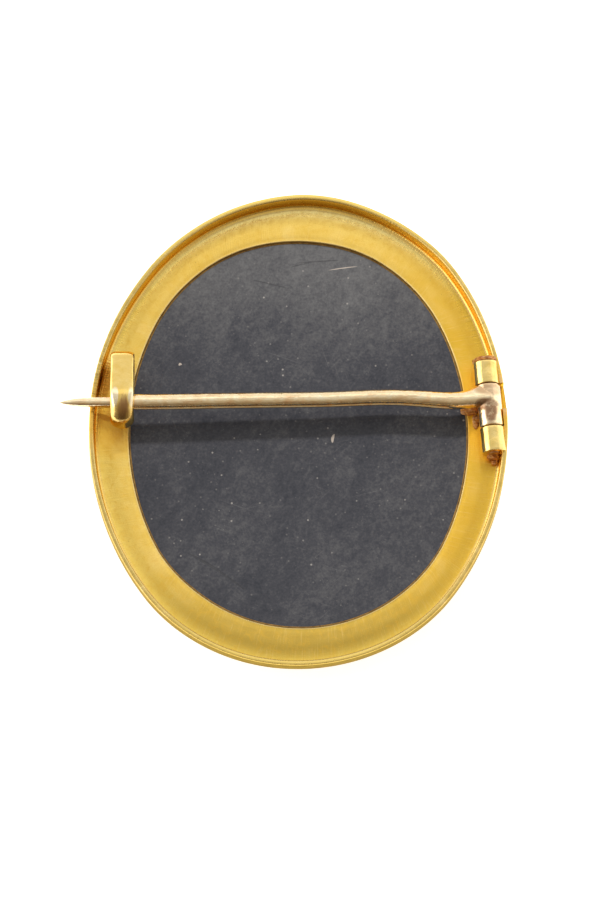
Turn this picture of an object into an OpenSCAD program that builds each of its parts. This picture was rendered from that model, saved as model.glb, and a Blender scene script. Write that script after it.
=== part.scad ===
// Oval brooch in a gold frame, lying face down on its front bezel.
// Origin: centre of the oval on the plane of the bezel's front rim.
// +Z points to the back of the brooch (the pin side), +Y is the long way
// of the oval, and +X points to the hinge side as seen from the back.

/* [Frame outline] */
// Half width of the frame
frame_a = 16.8; // [16.6:0.05:17]
// Half height of the frame
frame_b = 19.75; // [19.6:0.05:19.9]

/* [Frame section] */
// Height of the back rim above the front rest plane
rim_z = 5.75; // [5.65:0.05:5.85]
// Width of the rim's flat top
rim_w = 0.42; // [0.36:0.02:0.46]
// Height of the flange at the opening
flange_z = 4.17; // [4.12:0.01:4.2]
// Height of the flange where it meets the rim's inner wall
flange_foot_z = 4.45; // [4.4:0.01:4.5]
// Height at which the upright outer wall turns into the front border
wall_z = 4.55; // [4.45:0.05:4.65]
// Inset of the bezel's outer wall from the outline
bezel_in = 1.9; // [1.8:0.05:2]
// Height of the bezel's outer wall above the rest plane
bezel_z = 1.6; // [1.5:0.05:1.7]

/* [Opening in the back] */
// Half width of the opening
open_a = 13.48; // [13.4:0.02:13.56]
// Half height of the opening
open_b = 16.144; // [16.1:0.002:16.2]

/* [Stone] */
// How far the stone reaches under the flange
stone_lap = 0.85; // [0.7:0.05:0.9]
// Height of the stone's flat back
stone_back_z = 3.9; // [3.85:0.01:3.92]
// Height of the carved ground on the stone's front
stone_ground_z = 1.55; // [1.5:0.05:1.7]
// Gap between the stone and the metal
stone_gap = 0.05; // [0.03:0.01:0.08]
// Height of the lowest point of the relief
relief_z = 0.25; // [0.2:0.05:0.4]

/* [Catch] */
// Centre of the catch strip along X
catch_x = -14.07; // [-14.1:0.01:-14]
// Width of the catch strip
catch_w = 1.94; // [1.8:0.02:2]
// Thickness of the strip at the middle of its width
catch_t = 0.64; // [0.6:0.02:0.66]
// Outer radius of the closed bend
bend_r = 1.2; // [1.15:0.01:1.25]
// Length along Y from the hook's centre to the bend's centre
catch_len = 3.05; // [3:0.01:3.1]

/* [Hinge] */
// Outer radius of the knuckles
knuckle_r = 1.0; // [0.96:0.01:1.04]
// Radius of the rivet
rivet_r = 0.45; // [0.4:0.01:0.48]
// Running clearance of the middle knuckle on the rivet
rivet_play = 0.05; // [0.03:0.01:0.08]
// Lean of the hinge axis from +Y towards -X, in degrees
hinge_lean = 5.37; // [5:0.01:6]
// Height of the hinge axis
hinge_z = 5.35; // [5.33:0.01:5.4]

/* [Pin] */
// Radius of the stem
stem_r = 0.6; // [0.55:0.01:0.6]
// Radius of the stem past the catch
stem_nose_r = 0.4; // [0.36:0.01:0.42]

/* [Hidden] */
$fn = 128;

gold = [0.93, 0.74, 0.32];
rose_gold = [0.86, 0.62, 0.45];
dark_stone = [0.25, 0.25, 0.27];

// The hinge axis crosses this point at the middle of the middle knuckle
hinge_x = 15.31;
hinge_y = 1.82;
// Ends of the three knuckles along the axis, from that point
mid_lo = -1.75;
mid_hi = 1.75;
low_lo = -3.9;
low_hi = -1.825;
top_lo = 1.80;
top_hi = 4.05;
relief_clear = 0.09;

// The stem's axis runs straight from its root in the knuckle to its point
STEM_ROOT = [14.75, 2.38, 5.74];
STEM_POINT = [-19.1, 1.86, 6.33];
// Turned profile of the stem: distance from the root, radius
STEM_PROFILE = [
    [0, 0.72], [0.9, 0.69], [2.4, 0.64], [4.25, stem_r], [27.65, stem_r],
    [28.6, 0.53], [29.8, stem_nose_r + 0.02], [31.9, stem_nose_r - 0.02], [32.7, 0.31],
    [33.3, 0.20], [33.7, 0.09]
];

// ---------------------------------------------------------------- ovals
// A four-centred oval: two end arcs and two side arcs that meet without a
// corner. The half angle of a side arc is set by its cosine and sine.
FRAME_ARC = [0.8, 0.6];
OPEN_ARC = [0.936, 0.352];
function r3(x) = round(x * 1000) / 1000;
// Distance between the centre of a side arc and the centre of an end arc
function arc_h(a, b, cs) = (b - a) / (cs[0] + cs[1] - 1);

// The sector of the plane that a side arc or an end arc fills
module side_wedge(x, cs) {
    translate([0, 0, -20]) linear_extrude(60)
        polygon([[-x, 0], [60 * cs[0] - x, -60 * cs[1]], [60 * cs[0] - x, 60 * cs[1]]]);
}
module end_wedge(y, cs) {
    translate([0, 0, -20]) linear_extrude(60)
        polygon([[0, y], [60 * cs[0], y + 60 * cs[1]], [0, 120], [-60 * cs[0], y + 60 * cs[1]]]);
}

// Sweeps a section round the oval. Each section point is [inset, height].
// With disc = true the section is closed to the middle instead.
module oval_sweep(a, b, cs, sec, disc = false) {
    h = arc_h(a, b, cs);
    x = r3(h * cs[0]);
    y = r3(h * cs[1]);
    rs = a + x;
    re = b - y;
    z0 = sec[0][1];
    z1 = sec[len(sec) - 1][1];
    for (m = [0, 1]) mirror([m, 0, 0]) intersection() {
        translate([-x, 0, 0]) rotate_extrude() polygon(concat(
            disc ? [[0, z0]] : [], [for (p = sec) [rs - p[0], p[1]]], disc ? [[0, z1]] : []));
        side_wedge(x, cs);
    }
    for (m = [0, 1]) mirror([0, m, 0]) intersection() {
        translate([0, y, 0]) rotate_extrude() polygon(concat(
            disc ? [[0, z0]] : [], [for (p = sec) [re - p[0], p[1]]], disc ? [[0, z1]] : []));
        end_wedge(y, cs);
    }
}

// ---------------------------------------------------------------- frame
// The front border is one arc from the foot of the outer wall to the bezel.
border_turn = 15;
function border_pts(n) =
    let (dx = bezel_in - 0.0, dz = wall_z - bezel_z,
         chord = sqrt(dx * dx + dz * dz),
         lean = atan2(dx, dz),
         r = chord / (2 * sin(border_turn)),
         a0 = lean - border_turn,
         // centre of the arc, on the inner side of the chord
         cx = r * cos(a0), cz = wall_z + r * sin(a0))
    [for (i = [0:n]) let (t = a0 + 2 * border_turn * i / n)
        [r3(cx - r * cos(t)), r3(cz - r * sin(t))]];

// The dished flange between the rim's inner wall and the opening
function flange_pts(n) =
    [for (i = [0:n]) let (t = i / n)
        [r3(0.82 + t * 3.1), r3(flange_z + (flange_foot_z - 0.06 - flange_z) * pow(1 - t, 2))]];

FRAME_SECTION = concat(
    [[0.0, rim_z - 0.08], [0.07, rim_z], [rim_w - 0.03, rim_z], [rim_w + 0.02, rim_z - 0.05],
     [0.66, flange_foot_z + 0.14], [0.71, flange_foot_z + 0.03]],
    flange_pts(5),
    [[3.92, 0.0], [bezel_in + 0.15, 0.0], [bezel_in, 0.12]],
    [for (i = [8:-1:0]) border_pts(8)[i]]);

module frame_ring() {
    difference() {
        oval_sweep(frame_a, frame_b, FRAME_ARC, FRAME_SECTION);
        // the opening in the back, with a slightly eased edge
        oval_sweep(open_a, open_b, OPEN_ARC,
            [[-0.05, 5], [-0.05, flange_z - 0.02], [0, flange_z - 0.07], [0, 3], [4, 3], [4, 5]]);
        // the seat for the stone, from the ledge of the bezel up to the flange
        oval_sweep(open_a, open_b, OPEN_ARC,
            let (o = -(stone_lap + stone_gap))
            [[o, stone_back_z + 0.03], [o, stone_ground_z - stone_gap],
             [4.5, stone_ground_z - stone_gap], [4.5, stone_back_z + 0.03]]);
        // the bezel's sloping mouth at the front
        oval_sweep(open_a, open_b, OPEN_ARC,
            [[-0.4, 2], [-0.4, 1.1], [-0.82, 0.0], [-0.82, -1], [5, -1], [5, 2]]);
    }
}

// ---------------------------------------------------------------- catch
// One half-round strip bent in the YZ plane: a foot on the flange, a closed
// bend, a straight leg, and a hook over the pin that ends in a rounded tip.
hook_y = 2.16;
hook_z = flange_z + 1.05;
bend_y = hook_y + catch_len;
bend_z = hook_z + 0.25;
foot_y = hook_y + 0.9;
// Cosine and sine of the leg's outward normal, which leans to the bend
LEG = [0.28, 0.96];
// The leg touches both circles, so their radii differ by this much
hook_r = bend_r + LEG[0] * catch_len + LEG[1] * (bend_z - hook_z);
leg_len = LEG[1] * catch_len - LEG[0] * (bend_z - hook_z);

// Half-round section: [distance inside the outer face, across the width]
STRIP_N = 10;
STRIP = concat(
    [for (i = [0:STRIP_N]) let (a = 180 * i / STRIP_N)
        [r3(catch_t * 0.8 * (1 - sin(a))), r3(-cos(a) * catch_w / 2)]],
    [[catch_t, r3(0.46 * catch_w)], [catch_t, r3(-0.46 * catch_w)]]);

// Lays (outward, along, X) on the strip's cut at a normal with this
// cosine and sine in the YZ plane, about a centre at y, z.
module strip_frame(y, z, c) {
    multmatrix([[0, 0, 1, catch_x], [c[0], -c[1], 0, y], [c[1], c[0], 0, z], [0, 0, 0, 1]])
        children();
}

// A straight run of the strip, of length l along the strip from its start
module strip_run(y, z, c, r, l) {
    strip_frame(y, z, c) rotate([90, 0, 0]) translate([0, 0, 0]) linear_extrude(l)
        polygon([for (p = STRIP) [r - p[0], p[1]]]);
}

// A bent run about y, z, inside a wedge given in the YZ plane
module strip_bend(y, z, r, wedge) {
    intersection() {
        strip_frame(y, z, [1, 0]) rotate_extrude() polygon([for (p = STRIP) [r - p[0], p[1]]]);
        translate([catch_x - 2, 0, 0]) multmatrix([[0, 0, 1, 0], [1, 0, 0, 0], [0, 1, 0, 0], [0, 0, 0, 1]])
            linear_extrude(4) polygon(wedge);
    }
}

module catch_loop() {
    // the hook over the pin, with a round free end
    difference() {
        strip_bend(hook_y, hook_z, hook_r,
            [[hook_y, hook_z], [hook_y + 10 * LEG[0], hook_z + 10 * LEG[1]], [hook_y - 10, hook_z + 10], [hook_y - 10, hook_z]]);
        difference() {
            translate([catch_x - 2, hook_y - hook_r - 1, hook_z - 1]) cube([4, 2.2, 1 + catch_w / 2]);
            translate([catch_x, hook_y - hook_r + 0.5, hook_z + catch_w / 2]) rotate([90, 0, 0])
                cylinder(r = catch_w / 2, h = 6, center = true);
        }
    }
    // the straight leg
    strip_run(hook_y, hook_z, LEG, hook_r, leg_len);
    // the closed bend
    strip_bend(bend_y, bend_z, bend_r,
        [[bend_y, bend_z], [bend_y, bend_z - 10], [bend_y + 10, bend_z - 10], [bend_y + 10, bend_z + 10],
         [bend_y + 10 * LEG[0], bend_z + 10 * LEG[1]]]);
    // the foot, with the solder that holds it on the flange
    strip_run(bend_y, bend_z, [0, -1], bend_r, bend_y - foot_y);
    translate([catch_x - 0.36 * catch_w, foot_y, flange_z - 0.1])
        cube([0.72 * catch_w, bend_y - foot_y - 0.3, bend_z - bend_r + 0.35 - (flange_z - 0.1)]);
}

// ---------------------------------------------------------------- hinge
module on_hinge(s) {
    translate([hinge_x, hinge_y, hinge_z]) rotate([0, 0, hinge_lean]) rotate([-90, 0, 0])
        translate([0, 0, s]) children();
}

module knuckle(lo, hi, r) {
    c = 0.08;
    on_hinge(lo) rotate_extrude()
        polygon([[0, 0], [r - c, 0], [r, c], [r, hi - lo - c], [r - c, hi - lo], [0, hi - lo]]);
}

// Solder between a fixed knuckle and the flange
module cradle(lo, hi) {
    on_hinge(lo + 0.15) translate([-0.45, 0.6, 0]) cube([0.9, 0.6, hi - lo - 0.3]);
}

module setting() color(gold) {
    difference() {
        union() {
            difference() {
                frame_ring();
                // room for the middle knuckle to turn
                on_hinge(mid_lo - 0.04) cylinder(r = knuckle_r + relief_clear, h = mid_hi - mid_lo + 0.07);
                // notch in the rim that lets the root of the stem swing past upright
                on_hinge(-0.2) translate([0.6, -2, 0]) cube([2.4, 2.3, mid_hi + 0.23]);
            }
            catch_loop();
            knuckle(low_lo, low_hi, knuckle_r);
            knuckle(top_lo, top_hi, knuckle_r);
            cradle(low_lo, low_hi);
            cradle(top_lo, top_hi);
        }
        on_hinge(low_lo - 0.18) cylinder(r = rivet_r, h = top_hi - low_lo + 0.40);
    }
}

module hinge_rivet() color(rose_gold) {
    on_hinge(low_lo - 0.06) rotate_extrude()
        polygon([[0, -0.06], [0.3, -0.03], [rivet_r, 0.06], [rivet_r, top_hi - low_lo + 0.10],
                 [0.3, top_hi - low_lo + 0.19], [0, top_hi - low_lo + 0.22]]);
}

// ---------------------------------------------------------------- pin
module stem() {
    d = STEM_POINT - STEM_ROOT;
    l = norm(d);
    translate(STEM_ROOT) rotate([0, acos(d[2] / l), atan2(d[1], d[0])])
        rotate_extrude() polygon(concat([[0, 0]], [for (p = STEM_PROFILE) [p[1], p[0]]], [[0, l]]));
}

module pin_stem() color(rose_gold) {
    difference() {
        union() {
            knuckle(mid_lo, mid_hi, knuckle_r);
            stem();
        }
        on_hinge(mid_lo - 1) cylinder(r = rivet_r + rivet_play, h = mid_hi - mid_lo + 2);
    }
}

// ---------------------------------------------------------------- stone
// Posy in low relief: a rose, two small flowers and a ring of leaves.
// Each row: x, y, reach of the petals, number of petals, petal radius, height
PETALS = [
    [0, 0.4, 4.1, 7, 2.7, 0.60],
    [0, 0.4, 2.2, 5, 1.9, 0.95],
    [-5.4, 7.4, 1.7, 5, 1.2, 0.50],
    [5.5, -6.6, 1.7, 5, 1.2, 0.50]
];
// Each row: x, y, radius, height of a round boss
BOSSES = [
    [0, 0.4, 1.45, 1.26],
    [-5.4, 7.4, 0.85, 0.72],
    [5.5, -6.6, 0.85, 0.72]
];
// Each row: x, y, direction, length, width of a leaf
LEAVES = [
    [3.2, 5.4, 52, 8.0, 3.4],
    [-0.6, 6.2, 92, 8.5, 3.0],
    [-7.4, 2.4, 160, 5.0, 2.6],
    [-4.4, -4.2, 228, 7.6, 3.4],
    [0.4, -5.2, 272, 8.8, 3.0],
    [7.0, -1.6, 335, 5.2, 2.6],
    [6.4, 3.4, 20, 5.4, 2.6],
    [-6.6, -1.0, 196, 5.4, 2.6]
];

// A round dome that rises from the ground towards the front
module dome(r, h) {
    big = (r * r + h * h) / (2 * h);
    translate([0, 0, big - h]) sphere(r = big);
}

module leaf(l, w) {
    r = (l * l / 4 + w * w / 4) / w;
    intersection() {
        translate([l / 2, r - w / 2, -0.6]) cylinder(r = r, h = 1);
        translate([l / 2, w / 2 - r, -0.6]) cylinder(r = r, h = 1);
        translate([l / 2, 0, 0]) dome(l * 0.62, 0.55);
    }
}

module relief() {
    intersection() {
        translate([0, 0, stone_ground_z]) union() {
            for (f = PETALS) translate([f[0], f[1], 0])
                for (i = [0:f[3] - 1]) rotate([0, 0, 360 * i / f[3] + f[3] * 9])
                    translate([f[2], 0, 0]) dome(f[4], f[5]);
            for (f = BOSSES) translate([f[0], f[1], 0]) dome(f[2], f[3]);
            for (f = LEAVES) translate([f[0], f[1], 0]) rotate([0, 0, f[2]]) leaf(f[3], f[4]);
        }
        translate([-15, -18, 0.05]) cube([30, 36, stone_ground_z + 0.2]);
    }
}

module cameo_stone() color(dark_stone) {
    oval_sweep(open_a, open_b, OPEN_ARC,
        [[0.25 - stone_lap, stone_ground_z], [-stone_lap, stone_ground_z + 0.35], [-stone_lap, stone_back_z]],
        disc = true);
    relief();
}

setting();
cameo_stone();
pin_stem();
hinge_rivet();
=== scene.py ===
import math
import bpy
import numpy as np
from mathutils import Vector, Matrix


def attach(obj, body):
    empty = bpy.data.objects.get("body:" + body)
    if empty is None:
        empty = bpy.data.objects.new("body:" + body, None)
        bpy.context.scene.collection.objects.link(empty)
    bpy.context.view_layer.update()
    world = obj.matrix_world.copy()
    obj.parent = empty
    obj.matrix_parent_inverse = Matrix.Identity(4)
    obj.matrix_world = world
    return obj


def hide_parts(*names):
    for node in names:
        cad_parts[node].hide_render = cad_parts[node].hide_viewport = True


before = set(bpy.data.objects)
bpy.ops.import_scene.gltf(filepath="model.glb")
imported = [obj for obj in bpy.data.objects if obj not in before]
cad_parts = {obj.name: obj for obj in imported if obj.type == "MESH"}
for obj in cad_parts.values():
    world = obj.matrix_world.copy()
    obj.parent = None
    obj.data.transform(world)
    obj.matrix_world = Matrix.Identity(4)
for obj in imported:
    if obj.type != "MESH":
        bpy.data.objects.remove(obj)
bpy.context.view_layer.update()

# ------------------------------------------------------------------ sizes (mm)
FRAME_A, FRAME_B, FRAME_ARC = 16.8, 19.75, (0.8, 0.6)
OPEN_A, OPEN_B, OPEN_ARC = 13.48, 16.12, (math.cos(math.radians(27)), math.sin(math.radians(27)))
RIM_Z, FLANGE_Z, FOOT_Z, WALL_Z = 5.75, 4.17, 4.45, 4.55
BEZEL_IN, BEZEL_Z = 1.9, 1.6
STONE_LAP, STONE_BACK, STONE_GROUND = 0.85, 3.9, 1.55
CATCH_X, CATCH_W, CATCH_T = -14.07, 1.94, 0.64
BEND_R, CATCH_LEN = 1.2, 3.05
HOOK_Y, HOOK_Z = 2.16, FLANGE_Z + 1.05
BEND_Y, BEND_Z = HOOK_Y + CATCH_LEN, HOOK_Z + 0.25
HOOK_R = BEND_R + 0.28 * CATCH_LEN + 0.96 * 0.25
KNUCKLE_R, RIVET_R, LEAN = 1.0, 0.45, math.radians(5.37)
HINGE = np.array([15.31, 1.82, 5.35])
AXIS = np.array([-math.sin(LEAN), math.cos(LEAN), 0.0])
MID, LOW, TOP = (-1.75, 1.75), (-3.9, -1.825), (1.80, 4.05)
ROOT = np.array([14.75, 2.38, 5.74])
POINT = np.array([-19.1, 1.86, 6.33])

rng = np.random.RandomState(7)


# ------------------------------------------------------------------ mesh tools
def new_mesh(name, verts, faces, uv=None, attrs=None, smooth=True):
    """verts in mm; faces as index tuples; uv and attrs are one value for each vertex."""
    verts = np.asarray(verts, float)
    me = bpy.data.meshes.new(name)
    me.from_pydata([tuple(v) for v in verts * 0.001], [], [tuple(int(i) for i in f) for f in faces])
    me.update()
    if uv is not None:
        layer = me.uv_layers.new(name="UVMap")
        idx = np.zeros(len(me.loops), np.int32)
        me.loops.foreach_get("vertex_index", idx)
        layer.data.foreach_set("uv", np.asarray(uv, np.float32)[idx].ravel())
    for key, val in (attrs or {}).items():
        a = me.attributes.new(key, "FLOAT", "POINT")
        a.data.foreach_set("value", np.asarray(val, np.float32).ravel())
    me.polygons.foreach_set("use_smooth", [smooth] * len(me.polygons))
    ob = bpy.data.objects.new(name, me)
    bpy.context.scene.collection.objects.link(ob)
    return ob


def grid_faces(ni, nj, close_i=False, close_j=False, flip=False):
    f = []
    for i in range(ni if close_i else ni - 1):
        i2 = (i + 1) % ni
        for j in range(nj if close_j else nj - 1):
            j2 = (j + 1) % nj
            q = (i * nj + j, i2 * nj + j, i2 * nj + j2, i * nj + j2)
            f.append(q[::-1] if flip else q)
    return f


def apply_mods(ob):
    dg = bpy.context.evaluated_depsgraph_get()
    me = bpy.data.meshes.new_from_object(ob.evaluated_get(dg))
    old = ob.data
    ob.modifiers.clear()
    ob.data = me
    bpy.data.meshes.remove(old)
    me.name = ob.name


def outward(ob):
    import bmesh
    bm = bmesh.new()
    bm.from_mesh(ob.data)
    bmesh.ops.recalc_face_normals(bm, faces=bm.faces)
    bm.to_mesh(ob.data)
    bm.free()


def boolean(ob, cutter, op="DIFFERENCE"):
    outward(ob)
    outward(cutter)
    m = ob.modifiers.new("cut", "BOOLEAN")
    m.operation = op
    m.solver = "EXACT"
    m.object = cutter
    bpy.context.view_layer.update()
    apply_mods(ob)
    bpy.data.objects.remove(cutter)


def smooth_all(ob):
    ob.data.polygons.foreach_set("use_smooth", [True] * len(ob.data.polygons))


def wave(s, period, terms, seed, amp=1.0):
    """Smooth periodic noise along s."""
    r = np.random.RandomState(seed)
    out = np.zeros_like(np.asarray(s, float))
    tot = 0.0
    for k in terms:
        a = r.uniform(0.4, 1.0) / k ** 0.5
        out += a * np.sin(2 * np.pi * k * np.asarray(s) / period + r.uniform(0, 2 * np.pi))
        tot += a
    return amp * out / tot


def smoothstep(a, b, x):
    t = np.clip((np.asarray(x, float) - a) / (b - a), 0, 1)
    return t * t * (3 - 2 * t)


# ------------------------------------------------------------------ ovals
def oval(a, b, cs):
    h = (b - a) / (cs[0] + cs[1] - 1)
    x, y = h * cs[0], h * cs[1]
    return dict(x=x, y=y, rs=a + x, re=b - y, half=math.atan2(cs[1], cs[0]))


def oval_at(o, al):
    """Point of the oval whose outward normal has the angle al."""
    c, s = np.cos(al), np.sin(al)
    be = np.arctan2(np.abs(s), np.abs(c))
    side = be <= o["half"]
    px = np.where(side, -o["x"] + o["rs"] * np.abs(c), o["re"] * np.abs(c))
    py = np.where(side, o["rs"] * np.abs(s), o["y"] + o["re"] * np.abs(s))
    return np.stack([px * np.sign(c), py * np.sign(s)], -1)


OUT = oval(FRAME_A, FRAME_B, FRAME_ARC)
OPN = oval(OPEN_A, OPEN_B, OPEN_ARC)


def even_normals(o, n):
    al = np.linspace(0, 2 * np.pi, 20001)
    p = oval_at(o, al)
    s = np.concatenate([[0], np.cumsum(np.linalg.norm(np.diff(p, axis=0), axis=1))])
    want = np.linspace(0, s[-1], n, endpoint=False)
    return np.interp(want, s, al), want, s[-1]


# ------------------------------------------------------------------ frame
def build_frame():
    n = 970
    al, arc, per = even_normals(OUT, n)
    nrm = np.stack([np.cos(al), np.sin(al)], -1)
    po, pi = oval_at(OUT, al), oval_at(OPN, al)
    # the hand-made outline: a little flat at the upper shoulders, full at the lower ones,
    # with its top end leaning to the hinge side, and an opening that is not quite true to it
    deg = np.degrees(al)
    key = np.array([0, 15, 30, 40, 54, 66, 78, 90, 101, 114, 127, 140, 155, 180, 200, 213, 225, 240, 255, 270, 285, 300, 312, 322, 335, 350, 360])
    val = np.array([-4, -3, -4, -8, -22, -19, -7, 0, -11, -14, -15, -8, -4, -5, 3, 13, 16, 10, 5, 0, 2, 8, 15, 16, 7, -3, -4]) * 0.01
    off = np.interp(deg, key, val)
    ker = np.hanning(51)
    off = np.convolve(np.concatenate([off[-25:], off, off[:25]]), ker / ker.sum(), "valid")
    po = po + off[:, None] * nrm
    po[:, 0] += 0.33 * smoothstep(4.0, 18.5, po[:, 1])
    for a0, w0, amp in ((331, 15, 0.11), (209, 15, 0.12), (64, 14, 0.07), (116, 14, 0.07)):
        pi = pi + (amp * np.exp(-((deg - a0) / w0) ** 2))[:, None] * nrm
    pi[:, 0] += np.interp(pi[:, 1], [-16, -13.5, -10, -4, 0, 5, 16], [0.15, 0.14, 0.06, 0.03, 0.0, -0.05, -0.06])

    # (family, distance, height, zone); O is measured inwards from the outline,
    # I outwards from the opening, F runs from the rim's foot to the opening
    prof = []

    def add(fam, d, z, zone=""):
        prof.append((fam, d, z, zone))

    # mouth of the bezel and its front rim
    add("I", 0.42, 1.42)
    add("I", 0.42, 1.15)
    add("I", 0.45, 1.05)
    add("I", 0.78, 0.10)
    add("I", 0.81, 0.03)
    add("I", 0.86, 0.0)
    add("O", BEZEL_IN + 0.42, 0.0)
    add("O", BEZEL_IN + 0.15, 0.0)
    for k in range(1, 5):
        t = math.radians(22.5 * k)
        add("O", BEZEL_IN + 0.15 * (1 - math.sin(t)), 0.15 * (1 - math.cos(t)))
    for z in (0.5, 0.9, 1.3):
        add("O", BEZEL_IN, z, "bezel")
    # the front border, one convex arc, with a small cove at its foot
    dx, dz = BEZEL_IN, WALL_Z - BEZEL_Z
    chord, lean, turn = math.hypot(dx, dz), math.atan2(dx, dz), math.radians(15)
    r = chord / (2 * math.sin(turn))
    cx, cz = r * math.cos(lean - turn), WALL_Z + r * math.sin(lean - turn)
    arcp = []
    for k in range(13):
        t = lean - turn + 2 * turn * k / 12
        arcp.append((cx - r * math.cos(t), cz - r * math.sin(t)))
    add("O", BEZEL_IN - 0.01, 1.52)
    add("O", BEZEL_IN - 0.06, 1.62)
    for u, z in arcp[::-1][1:-1]:
        add("O", u, z, "border")
    add("O", 0.03, 4.48, "border")
    add("O", 0.012, 4.59, "wall")
    add("O", 0.008, 4.75, "wall")
    add("O", 0.012, 5.00, "wall")
    add("O", 0.015, 5.27, "wall")
    add("O", 0.018, 5.51, "wall")
    # the rim
    for d, s in ((0.022, 0.125), (0.029, 0.090), (0.044, 0.060), (0.066, 0.036), (0.100, 0.020), (0.150, 0.009), (0.205, 0.002), (0.255, 0.001), (0.295, 0.004)):
        add("O", d, RIM_Z - s, "rim")
    for d, s in ((0.330, 0.012), (0.365, 0.028), (0.395, 0.052), (0.420, 0.088), (0.438, 0.140)):
        add("O", d, RIM_Z - s, "edge")
    # upright inner wall and the cove at its foot, which ends in a crisp line
    for u, z in ((0.448, 5.55), (0.453, 5.35), (0.459, 5.14), (0.464, 4.93), (0.467, 4.72), (0.469, 4.56)):
        add("O", u, z, "inner")
    for k in range(0, 8):
        t = math.radians(180 + 10 * k)
        add("O", 0.764 + 0.295 * math.cos(t), 4.47 + 0.275 * math.sin(t), "inner")
    add("O", 0.745, 4.196, "inner")
    # the dished flange
    m = 19
    for k in range(0, m + 1):
        t = (k / m) ** 1.35
        foot = (1 - t) ** 13
        add("F", t, FLANGE_Z + 0.012 + (4.191 - 0.012 - FLANGE_Z) * foot - 0.035 * (1 - foot) * float(smoothstep(0.62, 0.05, t)) - 0.062 * float(smoothstep(0.84, 1.02, t)), "flange")
    # the edge pressed down on the stone: a bright crest and a dark bevel
    add("I", 0.205, FLANGE_Z - 0.044, "lip")
    add("I", 0.175, FLANGE_Z - 0.040, "lip")
    add("I", 0.150, FLANGE_Z - 0.052, "lip")
    add("I", 0.128, FLANGE_Z - 0.080, "lip")
    for d, z in ((0.110, 4.055), (0.090, 4.010), (0.070, 3.970), (0.045, 3.938), (0.020, 3.918), (-0.005, 3.908), (-0.028, 3.903)):
        add("I", d, z, "bevel")
    add("I", -0.032, 3.896, "bevel")
    add("I", 0.02, 3.894)
    add("I", 0.45, 3.95)
    add("I", STONE_LAP + 0.06, 3.95)
    add("I", STONE_LAP + 0.06, 3.3)
    add("I", STONE_LAP + 0.06, 1.46)
    add("I", 0.6, 1.44)
    m = len(prof)

    ring = np.zeros((n, m, 3))
    vdist = np.zeros(m)
    fo = po - 0.775 * nrm
    wob = wave(arc, per, range(2, 9), 3, 0.03)          # hand finish of the rim's width
    wob2 = wave(arc, per, range(9, 40, 3), 4, 0.006)
    zw = wave(arc, per, range(1, 7), 5, 0.02) + wave(arc, per, range(14, 60, 5), 6, 0.003)
    fine = wave(arc, per, range(60, 190, 7), 11, 0.0022)
    dish = wave(arc, per, range(1, 6), 8, 0.025)
    low = smoothstep(0.55, 0.95, -np.sin(al))            # lower end of the frame
    high = smoothstep(0.25, 0.9, np.sin(al))             # upper end
    zones = {k: np.zeros((n, m)) for k in ("rim", "wall", "inner", "flange", "lip", "border", "bevel", "bezel", "outer", "bright")}
    for j, (fam, d, z, zone) in enumerate(prof):
        if fam == "O":
            extra = np.zeros(n)
            zz = np.full(n, z)
            if zone == "rim":
                extra = np.abs(wob2) * 0.6 + np.clip(fine, 0, 1) * smoothstep(0.3, 0.0, d)
                zz = z - np.abs(zw) - np.clip(fine, 0, 1) - 0.036 * low * d / 0.3
            elif zone == "edge":
                extra = wob + wob2
                zz = z - np.abs(zw) - np.clip(-fine, 0, 1) - 0.038 * low
            elif zone == "inner":
                k = smoothstep(4.5, 5.4, z)
                extra = (wob + wob2) * (0.35 + 0.65 * k)
                zz = z - np.abs(zw) * k
            elif zone == "wall":
                extra = 0.5 * np.abs(wob2) + 0.004
            p = po - (d + extra)[:, None] * nrm
        elif fam == "I":
            extra = np.zeros(n)
            if zone in ("lip", "bevel"):
                extra = wave(arc, per, range(2, 30, 3), 9, 0.012) + wave(arc, per, range(31, 90, 7), 19, 0.008)
                extra = extra + low * (0.0 if d > 0.06 else -0.030)
            p = pi + (d + extra)[:, None] * nrm
            zz = np.full(n, z)
        else:
            q = pi + (0.235 + wave(arc, per, range(2, 30, 3), 9, 0.012))[:, None] * nrm
            p = fo * (1 - d) + q * d
            zz = z - 0.058 * high * max(0.0, 1 - d / 0.62) * (1 - (1 - d) ** 30) + dish * math.sin(math.pi * min(1, d)) + 0.3 * wave(arc, per, range(5, 26, 3), 12, 0.02) * math.sin(math.pi * min(1, d))
        ring[:, j, :2] = p
        ring[:, j, 2] = zz
        if zone == "flange":
            zones["outer"][:, j] = float(smoothstep(0.42, 0.04, d))
            zones["bright"][:, j] = float(smoothstep(0.66, 0.36, d))
        if zone == "edge":
            zones["rim"][:, j] = 0.6
            zones["lip"][:, j] = 0.6
        elif zone:
            zones[zone][:, j] = 1.0
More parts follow.
